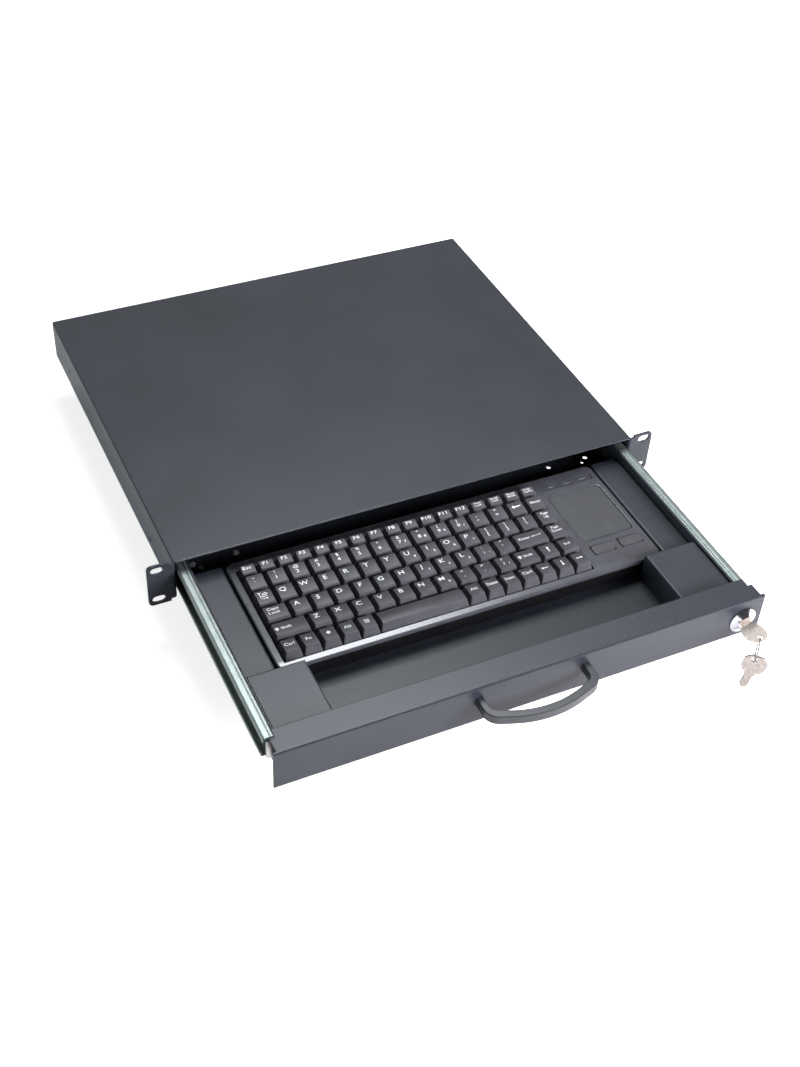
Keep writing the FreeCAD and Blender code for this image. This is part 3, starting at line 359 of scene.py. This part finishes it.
def makeCap(wide, deep, tilt, hollow, stemLow):
    # one cap about its own middle, in millimetres, its skirt at height 0; without a hollow its top is arched
    halfWide = wide / 2
    halfDeep = deep / 2
    topHalf = halfWide - capShape["sideDraft"]
    turn = math.radians(tilt)
    shape = bmesh.new()
    corners = bmesh.ops.create_cube(shape, size=2)["verts"]
    for corner in corners:
        x, y, z = corner.co
        if z < 0:
            corner.co = (x * halfWide, y * halfDeep, 0)
        else:
            along = halfDeep - capShape["backDraft"] if y > 0 else capShape["frontDraft"] - halfDeep
            corner.co = (x * topHalf, along * math.cos(turn), capShape["rise"] + along * math.sin(turn))
    upright = [edge for edge in shape.edges
               if abs(edge.verts[0].co.z - edge.verts[1].co.z) > capShape["rise"] / 2]
    roundEdges(shape, upright, capShape["corner"], 3)
    topDeep = halfDeep - (capShape["frontDraft"] + capShape["backDraft"]) / 2
    topMiddle = (capShape["frontDraft"] - capShape["backDraft"]) / 2
    span = topHalf - capShape["hollowEdge"] if hollow else topDeep - capShape["hollowEdge"]
    for strip in range(capShape["strips"] + 1):
        across = span * (2 * strip / capShape["strips"] - 1)
        everything = shape.verts[:] + shape.edges[:] + shape.faces[:]
        cut = {"plane_co": (across, 0, 0), "plane_no": (1, 0, 0)}
        if not hollow:
            cut = {"plane_co": (0, topMiddle + across, 0), "plane_no": (0, 1, 0)}
        bmesh.ops.bisect_plane(shape, geom=everything, **cut)
    shape.normal_update()
    tops = {vert for face in shape.faces if facesUp(face) for vert in face.verts}
    for vert in tops:
        if hollow:
            vert.co.z -= hollowAt(vert.co.x, span)
        else:
            share = min(1, abs(vert.co.y - topMiddle) / topDeep)
            vert.co.z -= capShape["arch"] * share * share
    shape.normal_update()
    rim = [edge for edge in shape.edges
           if len(edge.link_faces) == 2 and facesUp(edge.link_faces[0]) != facesUp(edge.link_faces[1])]
    roundEdges(shape, rim, capShape["rim"], 3)
    half = capShape["stem"] / 2
    for vert in bmesh.ops.create_cube(shape, size=2)["verts"]:
        vert.co = (vert.co.x * half, vert.co.y * half, stemLow if vert.co.z < 0 else 0)
    bmesh.ops.recalc_face_normals(shape, faces=shape.faces[:])
    mesh = bpy.data.meshes.new("cap")
    shape.to_mesh(mesh)
    shape.free()
    return mesh


class KeySpot:
    # where one key is, in millimetres, and how its top lies
    def __init__(self, node, number, count, tilt, hollow):
        low, high = (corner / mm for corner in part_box(node))
        gap = capShape["gap"]
        pitch = (high.x - low.x + gap) / count
        self.wide = pitch - gap
        self.deep = high.y - low.y
        self.middle = Vector((low.x + self.wide / 2 + number * pitch, (low.y + high.y) / 2, capShape["skirt"]))
        self.stemLow = low.z - self.middle.z
        self.tilt = tilt
        self.hollow = hollow
        self.topHalf = self.wide / 2 - capShape["sideDraft"]
        self.topMiddle = (capShape["frontDraft"] - capShape["backDraft"]) / 2

    def onTop(self, across, along, lift):
        turn = math.radians(self.tilt)
        length = self.topMiddle + along
        drop = hollowAt(across, self.topHalf - capShape["hollowEdge"]) if self.hollow else 0
        height = capShape["rise"] + length * math.sin(turn) - drop + lift
        return self.middle + Vector((across, length * math.cos(turn), height))


# Legends: words and small signs, each bent to the top that it is printed on
legendStyle = {"bold": 0.005, "lift": 0.012, "thick": 0.012}
# height and width of each kind of legend
legendSizes = {"letter": (6.1, 1.25), "upper": (4.2, 1.2), "lower": (5.0, 1.2), "small": (3.4, 1.2),
               "word": (4.8, 1.15), "shift": (4.0, 1.3), "twoLines": (4.0, 1.25), "narrow": (3.9, 1.0),
               "tall": (5.0, 0.74), "arrowKey": (6.4, 1.2), "longArrow": (8.6, 1.2), "sign": (4.0, 1.2),
               "function": (4.8, 1.3), "tiny": (3.0, 1.1)}
# across and along from the middle of the key's top
legendPlaces = {"letter": (-2.1, 2.4), "besideLetter": (3.1, -2.3), "pairUpper": (-1.2, 4.1),
                "pairLower": (-1.2, -1.0), "besidePair": (3.4, -2.0), "arrowKey": (0, 0.6)}
lineHeights = {"twoLines": (3.8, -0.4), "functionLines": (2.2, -0.4)}
wordMeshes = {}


def wordMesh(words):
    # flat letters one unit high about the origin
    if words not in wordMeshes:
        curve = bpy.data.curves.new("word", "FONT")
        curve.body = words
        curve.align_x = "CENTER"
        curve.align_y = "CENTER"
        curve.resolution_u = 3
        curve.offset = legendStyle["bold"]
        curve.extrude = 0.5
        holder = bpy.data.objects.new("word", curve)
        wordMeshes[words] = bpy.data.meshes.new_from_object(holder)
        bpy.data.objects.remove(holder)
        bpy.data.curves.remove(curve)
    return wordMeshes[words]


signOutlines = {
    "arrow": [[(-0.055, -0.5), (0.055, -0.5), (0.055, 0.2), (0.18, 0.2), (0, 0.5), (-0.18, 0.2), (-0.055, 0.2)]],
    "shiftArrow": [[(-0.16, -0.45), (0.16, -0.45), (0.16, 0), (0.45, 0), (0, 0.5), (-0.45, 0), (-0.16, 0)]],
    "enterArrow": [[(0.8, 0.3), (0.71, 0.3), (0.71, 0.045), (-0.45, 0.045), (-0.45, 0.17), (-0.85, 0),
                    (-0.45, -0.17), (-0.45, -0.045), (0.8, -0.045)]],
    "tabArrows": [[(-0.62, 0.06), (-0.5, 0.06), (-0.5, 0.24), (-0.24, 0.24), (-0.24, 0.14), (0.62, 0.24),
                   (0.62, 0.34), (-0.24, 0.34), (-0.24, 0.44), (-0.5, 0.3), (-0.5, 0.5), (-0.62, 0.5)],
                  [(0.62, -0.06), (0.5, -0.06), (0.5, -0.24), (0.24, -0.14), (0.24, -0.24), (-0.62, -0.24),
                   (-0.62, -0.34), (0.24, -0.34), (0.24, -0.44), (0.5, -0.3), (0.5, -0.5), (0.62, -0.5)]],
    "sheet": [[(-0.4, -0.5), (0.4, -0.5), (0.4, 0.5), (-0.4, 0.5), (-0.4, -0.4), (-0.3, -0.4), (-0.3, 0.4),
               (0.3, 0.4), (0.3, -0.4), (-0.4, -0.4)]],
    "lines": [[(-0.2, y - 0.05), (0.2, y - 0.05), (0.2, y + 0.05), (-0.2, y + 0.05)] for y in (-0.2, 0, 0.2)],
    "diamond": [[(0, -0.5), (0.42, 0), (0, 0.5), (-0.42, 0)]],
}
signMeshes = {}


def signMesh(sign):
    if sign not in signMeshes:
        shape = bmesh.new()
        for outline in signOutlines[sign]:
            face = shape.faces.new([shape.verts.new((x, y, -0.5)) for x, y in outline])
            risen = bmesh.ops.extrude_face_region(shape, geom=[face])["geom"]
            bmesh.ops.translate(shape, vec=(0, 0, 1), verts=cornersOf(risen))
        bmesh.ops.recalc_face_normals(shape, faces=shape.faces[:])
        signMeshes[sign] = bpy.data.meshes.new(sign)
        shape.to_mesh(signMeshes[sign])
        shape.free()
    return signMeshes[sign]


def addLegend(shape, spot, mesh, across, along, size, turn=0.0):
    # copies a flat mesh into the shape, sized, turned, and laid on the key's top
    height, width = size
    turned = Matrix.Rotation(math.radians(turn), 3, "Z")
    for vert in addMesh(shape, mesh):
        flat = turned @ Vector((vert.co.x * height * width, vert.co.y * height, 0))
        lift = legendStyle["lift"] + legendStyle["thick"] * (vert.co.z + 0.5)
        vert.co = spot.onTop(across + flat.x, along + flat.y, lift) * mm


def letterLegend(letter, extra=None):
    marks = [(letter, *legendPlaces["letter"], "letter", 0)]
    if extra:
        marks.append((extra, *legendPlaces["besideLetter"], "small", 0))
    return marks


def pairLegend(upper, lower, extra=None):
    marks = [(upper, *legendPlaces["pairUpper"], "upper", 0), (lower, *legendPlaces["pairLower"], "lower", 0)]
    if extra:
        marks.append((extra, *legendPlaces["besidePair"], "small", 0))
    return marks


def wordLegend(word, across=0.0, along=1.0, size="word"):
    return [(word, across, along, size, 0)]


def linesLegend(words, across=0.0, size="narrow", heights="twoLines"):
    return [(word, across, along, size, 0) for word, along in zip(words, lineHeights[heights])]


def arrowLegend(turn):
    return [("arrow", *legendPlaces["arrowKey"], "arrowKey", turn)]


functionWords = [wordLegend(word, -0.6, 1.3, "function")
                 for word in ["Esc"] + [f"F{number}" for number in range(1, 13)]]
functionLines = [linesLegend(words, 0, "tiny", "functionLines")
                 for words in (("Num", "Lock"), ("Scroll", "Lock"), ("Pause", "Break"), ("PrtSc", "SysRq"))]
pairExtras = {"7": "7", "8": "8", "9": "9", "0": "/"}
letterExtras = {"U": "4", "I": "5", "O": "6", "P": "*", "J": "1", "K": "2", "L": "3", "M": "0"}
numberPairs = [pairLegend(upper, lower, pairExtras.get(lower))
               for upper, lower in zip("~!@#$%^&*()_+", "`1234567890-=")]


def letterRow(letters):
    return [letterLegend(letter, letterExtras.get(letter)) for letter in letters]


# Each row's nodes from left to right, with the marks on each key
keyRows = {
    "function": [("function_keys", functionWords + functionLines)],
    "number": [("number_keys", numberPairs),
               ("backspace_key", [[("arrow", 0, 1.6, "longArrow", 90)]]),
               ("home_key", [wordLegend("Home", size="narrow")])],
    "upper": [("tab_key", [[("Tab", -0.8, 3.2, "word", 0), ("tabArrows", -0.6, -0.6, "sign", 0)]]),
              ("upper_letter_keys", letterRow("QWERTYUIOP")
               + [pairLegend("{", "["), pairLegend("}", "]"), pairLegend("|", "\\")]),
              ("page_up_key", [linesLegend(("Page", "Up"))])],
    "middle": [("caps_key", [linesLegend(("Caps", "Lock"), -1.6, "twoLines")]),
               ("middle_letter_keys", letterRow("ASDFGHJKL")
                + [pairLegend(":", ";", "-"), pairLegend("\"", "'")]),
               ("enter_key", [[("Enter", -5.8, 0.8, "shift", 0), ("enterArrow", 5.6, 0.8, "word", 0)]]),
               ("page_down_key", [linesLegend(("Page", "Down"))])],
    "lower": [("left_shift_key", [[("shiftArrow", -11.2, 0.2, "sign", 0), ("Shift", -3.4, 0.2, "shift", 0)]]),
              ("lower_letter_keys", letterRow("ZXCVBNM")
               + [pairLegend("<", ","), pairLegend(">", ".", "."), pairLegend("?", "/", "/")]),
              ("right_shift_key", [[("shiftArrow", -6.4, 0.4, "sign", 0), ("Shift", 1.2, 0.4, "shift", 0)]]),
              ("up_arrow_key", [arrowLegend(0)]), ("end_key", [wordLegend("End", size="narrow")])],
    "last": [("left_modifier_keys", [wordLegend("Ctrl"), wordLegend("Fn", -0.4), [("diamond", 0, 1.0, "sign", 0)],
                                     wordLegend("Alt"),
                                     [("sheet", 0, 1.0, "sign", 0), ("lines", 0, 1.0, "sign", 0)]]),
             ("space_bar", [[]]),
             ("right_modifier_keys", [wordLegend("Alt"), wordLegend("Delete", size="tall"),
                                      wordLegend("Insert", size="tall"), wordLegend("Ctrl")]),
             ("left_arrow_key", [arrowLegend(90)]), ("down_arrow_key", [arrowLegend(180)]),
             ("right_arrow_key", [arrowLegend(-90)])],
}


def makeKeys(node, legends, tilt):
    caps = bmesh.new()
    inked = bmesh.new()
    capMesh = None
    for number, marks in enumerate(legends):
        spot = KeySpot(node, number, len(legends), tilt, node != "space_bar")
        if capMesh is None:
            capMesh = makeCap(spot.wide, spot.deep, tilt, spot.hollow, spot.stemLow)
        for vert in addMesh(caps, capMesh):
            vert.co = (vert.co + spot.middle) * mm
        for mark, across, along, size, turn in marks:
            mesh = signMesh(mark) if mark in signOutlines else wordMesh(mark)
            addLegend(inked, spot, mesh, across, along, legendSizes[size], turn)
    piece = newPiece(f"{node}_caps", caps, "keycap_plastic", node, capShape["smoothUnder"])
    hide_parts(node)
    if len(inked.verts):
        newPiece(f"{node}_legends", inked, "key_ink", node)


for row, entries in keyRows.items():
    for node, legends in entries:
        makeKeys(node, legends, rowTilts[row])
print("key caps and legends made")

# Thin raised beads round the touchpad and the indicator window: distance from the edge, then height
beads = {
    "padBead": {"node": "touchpad", "corner": 4.5, "steps": 8,
                "section": [(0.3, 1.99), (0.3, 2.04), (1.4, 2.42), (1.8, 2.36), (2.0, 1.99)]},
    "windowBead": {"node": "indicator_window", "corner": 0.6, "steps": 4,
                   "section": [(0.15, 1.99), (0.15, 2.03), (0.6, 2.2), (0.8, 1.99)]},
}


def outlineAround(low, high, corner, outward, steps):
    points = []
    middles = ((high.x, high.y, -1, -1), (low.x, high.y, 1, -1), (low.x, low.y, 1, 1), (high.x, low.y, -1, 1))
    for quarter, (x, y, inX, inY) in enumerate(middles):
        for step in range(steps + 1):
            angle = math.radians(90 * (quarter + step / steps))
            points.append((x + inX * corner + (corner + outward) * math.cos(angle),
                           y + inY * corner + (corner + outward) * math.sin(angle)))
    return points


def makeBead(name, values):
    low, high = (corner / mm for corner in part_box(values["node"]))
    shape = bmesh.new()
    rings = []
    for outward, height in values["section"]:
        outline = outlineAround(low, high, values["corner"], outward, values["steps"])
        rings.append([shape.verts.new(Vector((x, y, height)) * mm) for x, y in outline])
    for ring, following in zip(rings, rings[1:] + rings[:1]):
        for number in range(len(ring)):
            shape.faces.new((ring[number - 1], ring[number], following[number], following[number - 1]))
    bmesh.ops.recalc_face_normals(shape, faces=shape.faces[:])
    newPiece(name, shape, "keyboard_case", "drawer")


for name, values in beads.items():
    makeBead(name, values)

# Small words on the indicator window
windowMarks = {"words": {"Num": -16, "Caps": 0, "Scroll": 16}, "height": 2.4, "lift": 0.015, "thick": 0.01}


def makeWindowMarks(values):
    low, high = (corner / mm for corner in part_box("indicator_window"))
    middle = (low + high) / 2
    shape = bmesh.new()
    for word, across in values["words"].items():
        for vert in addMesh(shape, wordMesh(word)):
            vert.co = Vector((middle.x + across + vert.co.x * values["height"],
                              middle.y + vert.co.y * values["height"],
                              high.z + values["lift"] + values["thick"] * (vert.co.z + 0.5))) * mm
    newPiece("windowMarks", shape, "mark_ink", "drawer")


makeWindowMarks(windowMarks)

# Grey plugs in the floor holes on the left, painted shade that stands in for the shadow seen through these holes:
# where, and the hole's radius
shadePlugs = {"places": [(-193.6, 31.3, 2.3), (-154.4, 31.3, 2.3), (-187.3, 25.9, 1.6)], "floor": -18.68,
              "sheet": 1.2, "overlap": 1.1, "dome": 1.3, "play": 0.15, "rings": 5, "steps": 24}


def makeShadePlugs(values):
    shape = bmesh.new()
    for x, y, hole in values["places"]:
        wide = hole + values["overlap"]
        outline = [(0, values["dome"])]
        for ring in range(1, values["rings"] + 1):
            angle = math.radians(90 * ring / values["rings"])
            outline.append((wide * math.sin(angle), values["dome"] * math.cos(angle)))
        outline += [(hole - values["play"], 0), (hole - values["play"], -values["sheet"]), (0, -values["sheet"])]
        corners = [shape.verts.new(Vector((x + out, y, values["floor"] + rise)) * mm) for out, rise in outline]
        edges = [shape.edges.new(pair) for pair in zip(corners, corners[1:])]
        bmesh.ops.spin(shape, geom=corners + edges, cent=Vector((x, y, 0)) * mm, axis=(0, 0, 1),
                       angle=math.radians(360), steps=values["steps"], use_merge=True)
    bmesh.ops.remove_doubles(shape, verts=shape.verts[:], dist=0.0001 * mm)
    bmesh.ops.recalc_face_normals(shape, faces=shape.faces[:])
    # the plugs' grey is painted shade in the left floor holes
    newPiece("shadePlugs", shape, "shade_plug_plastic", "drawer")


makeShadePlugs(shadePlugs)

# Rolled front edge of the cover, in the lighter and glossier keyboard-case finish rather than the powder coat:
# the rounded edge is real, its lighter colour a painted highlight along the edge
coverLipHighlight = {"half": 216.5, "front": 0.0, "high": 21.0, "radius": 0.6, "steps": 8}


def makeCoverLip(values):
    shape = bmesh.new()
    middle = Vector((-values["half"], values["front"], values["high"] - values["radius"]))
    start = shape.verts.new((middle + Vector((0, 0, values["radius"]))) * mm)
    turned = bmesh.ops.spin(shape, geom=[start], cent=middle * mm, axis=(1, 0, 0), angle=math.radians(180),
                            steps=values["steps"])
    shape.edges.new((start, cornersOf(turned["geom_last"])[0]))
    bmesh.ops.contextual_create(shape, geom=shape.edges[:])
    drawn = bmesh.ops.extrude_face_region(shape, geom=shape.faces[:])["geom"]
    bmesh.ops.translate(shape, vec=(2 * values["half"] * mm, 0, 0), verts=cornersOf(drawn))
    bmesh.ops.recalc_face_normals(shape, faces=shape.faces[:])
    # the lighter keyboard-case finish on this steel edge is a painted highlight
    newPiece("coverLipHighlight", shape, "keyboard_case", "housing")


makeCoverLip(coverLipHighlight)

# Plated caps on the end tabs of the drawer rails
tabCaps = {"middles": [-209.4, 209.4], "wide": 6.4, "low": -12.0, "high": 7.4, "front": -194.3, "back": -193.52,
           "corner": 2.2, "rim": 0.3}


def makeTabCaps(values):
    shape = bmesh.new()
    size = Vector((values["wide"], values["back"] - values["front"], values["high"] - values["low"]))
    for x in values["middles"]:
        middle = Vector((x, (values["front"] + values["back"]) / 2, (values["low"] + values["high"]) / 2))
        corners = bmesh.ops.create_cube(shape, size=1)["verts"]
        for vert in corners:
            vert.co = (middle + Vector(vert.co[axis] * size[axis] for axis in range(3))) * mm
        along = [edge for edge in {edge for vert in corners for edge in vert.link_edges}
                 if abs(edge.verts[0].co.y - edge.verts[1].co.y) > 0.1 * mm]
        roundEdges(shape, along, values["corner"] * mm, 5)
    front = values["front"] * mm
    rim = [edge for edge in shape.edges if all(abs(vert.co.y - front) < 0.01 * mm for vert in edge.verts)]
    roundEdges(shape, rim, values["rim"] * mm, 2)
    bmesh.ops.recalc_face_normals(shape, faces=shape.faces[:])
    newPiece("tabCaps", shape, "tab_nickel", "drawer")


makeTabCaps(tabCaps)
print("beads, window marks, plugs, cover lip and tab caps made")

# Camera at the photograph's view
cameraView = {"place": (-0.4578, -0.8604, 0.8689), "yaw": -27.36, "pitch": 42.48, "roll": 3.6, "focal": 1495.51,
              "longSide": 1067, "sensor": 36}


def makeCamera(values):
    yaw, pitch, roll = (math.radians(values[angle]) for angle in ("yaw", "pitch", "roll"))
    back = Vector((math.sin(yaw) * math.cos(pitch), -math.cos(yaw) * math.cos(pitch), math.sin(pitch)))
    level = Vector((math.cos(yaw), math.sin(yaw), 0))
    upright = back.cross(level)
    right = level * math.cos(roll) + upright * math.sin(roll)
    up = upright * math.cos(roll) - level * math.sin(roll)
    lens = bpy.data.cameras.new("camera")
    lens.sensor_width = values["sensor"]
    lens.lens = values["sensor"] * values["focal"] / values["longSide"]
    camera = bpy.data.objects.new("camera", lens)
    bpy.context.scene.collection.objects.link(camera)
    turned = Matrix((right, up, back)).transposed().to_4x4()
    camera.matrix_world = Matrix.Translation(values["place"]) @ turned
    bpy.context.scene.camera = camera


makeCamera(cameraView)

# Stage: pale floor, soft world, soft lamps
stageSizes = {"floorDrop": 2 * mm, "floorHalf": 8.0, "floorColour": (0.62, 0.62, 0.62, 1),
              "floorGlow": ((0.72, 0.72, 0.72, 1), (1, 1, 1, 1)), "glowReach": (0.7, 1.8), "floorMirror": 0.07,
              "worldMirror": (0.1, 0.6), "worldTurn": (-0.3, 0.35), "worldLevel": 0.14}
lamps = {
    "rear": {"place": (0.25, 0.98, 1.6), "aim": (0.25, 0.98, 0), "size": (0.9, 0.3), "power": 9.3, "shine": True,
             "colour": (0.92, 0.96, 1)},
    "overhead": {"place": (0.28, 0.48, 1.6), "aim": (0.28, 0.48, 0), "size": (0.66, 0.5), "power": 20,
                 "shine": True, "colour": (0.92, 0.96, 1)},
    "front": {"place": (0.65, -1.15, 0.5), "aim": (0, -0.2, 0), "size": (1.0, 0.5), "power": 66, "shine": False,
              "colour": (1, 0.95, 0.97)},
    "left": {"place": (-1.25, -0.05, 0.06), "aim": (-0.2, -0.05, 0), "size": (0.8, 0.08), "power": 18,
             "shine": False, "colour": (0.95, 1, 1)},
    "frontRight": {"place": (0.9, -0.8, 0.35), "aim": (0.2, -0.25, 0), "size": (0.4, 0.3), "power": 16,
                   "shine": False, "colour": (1, 0.95, 0.97)},
}


def seenLevels(finish, camera, mirror, other):
    # the level that the camera or glass sees, the one that a shiny surface shows, and the one that lights things
    direct, glass, shiny = (finish.node("ShaderNodeLightPath", output=kind)
                            for kind in ("Is Camera Ray", "Is Transmission Ray", "Is Glossy Ray"))
    clear = direct.maths("MAXIMUM", direct, glass)
    return clear * camera + (1 - clear) * (shiny * mirror + (1 - shiny) * other)


def makeStage(values):
    material, finish = newFinish("paleFloor")
    shown = finish.node("ShaderNodeBsdfDiffuse", None, {"Color": values["floorColour"]})
    # the floor whitens away from the object
    away = finish.node("ShaderNodeVectorMath", {"operation": "LENGTH"}, {0: finish.spot()}, "Value")
    glowing = finish.tint(finish.band(away, *values["glowReach"]), *values["floorGlow"])
    level = seenLevels(finish, 1, values["floorMirror"], 0)
    glow = finish.node("ShaderNodeEmission", None, {"Color": glowing, "Strength": level})
    both = finish.node("ShaderNodeAddShader", None, {0: shown, 1: glow})
    finish.node("ShaderNodeOutputMaterial", None, {"Surface": both})
    shape = bmesh.new()
    bmesh.ops.create_grid(shape, x_segments=2, y_segments=2, size=values["floorHalf"])
    bmesh.ops.translate(shape, vec=(0, 0, cadLow.z - values["floorDrop"]), verts=shape.verts[:])
    mesh = bpy.data.meshes.new("floor")
    shape.to_mesh(mesh)
    shape.free()
    mesh.materials.append(material)
    floor = bpy.data.objects.new("floor", mesh)
    bpy.context.scene.collection.objects.link(floor)
    world = bpy.data.worlds.new("softWorld")
    bpy.context.scene.world = world
    world.use_nodes = True
    finish = Finish(world.node_tree)
    # the room is darker at the front
    toward = finish.node("ShaderNodeSeparateXYZ", None,
                         {"Vector": finish.node("ShaderNodeTexCoord", output="Generated")}, "Y")
    near, far = values["worldMirror"]
    mirror = near + (far - near) * finish.band(toward, *values["worldTurn"])
    level = seenLevels(finish, 1, mirror, values["worldLevel"])
    light = finish.node("ShaderNodeBackground", None, {"Color": (1, 1, 1, 1), "Strength": level})
    finish.node("ShaderNodeOutputWorld", None, {"Surface": light})


def makeLamp(name, values):
    light = bpy.data.lights.new(name, "AREA")
    light.shape = "RECTANGLE"
    light.size, light.size_y = values["size"]
    light.energy = values["power"]
    light.color = values["colour"]
    lamp = bpy.data.objects.new(name, light)
    lamp.visible_camera = False
    lamp.visible_glossy = values["shine"]
    bpy.context.scene.collection.objects.link(lamp)
    toAim = Vector(values["aim"]) - Vector(values["place"])
    lamp.matrix_world = Matrix.Translation(values["place"]) @ toAim.to_track_quat("-Z", "Y").to_matrix().to_4x4()


makeStage(stageSizes)
for name, values in lamps.items():
    makeLamp(name, values)
bpy.context.scene.view_settings.view_transform = "Standard"
print("stage, lamps and camera made")
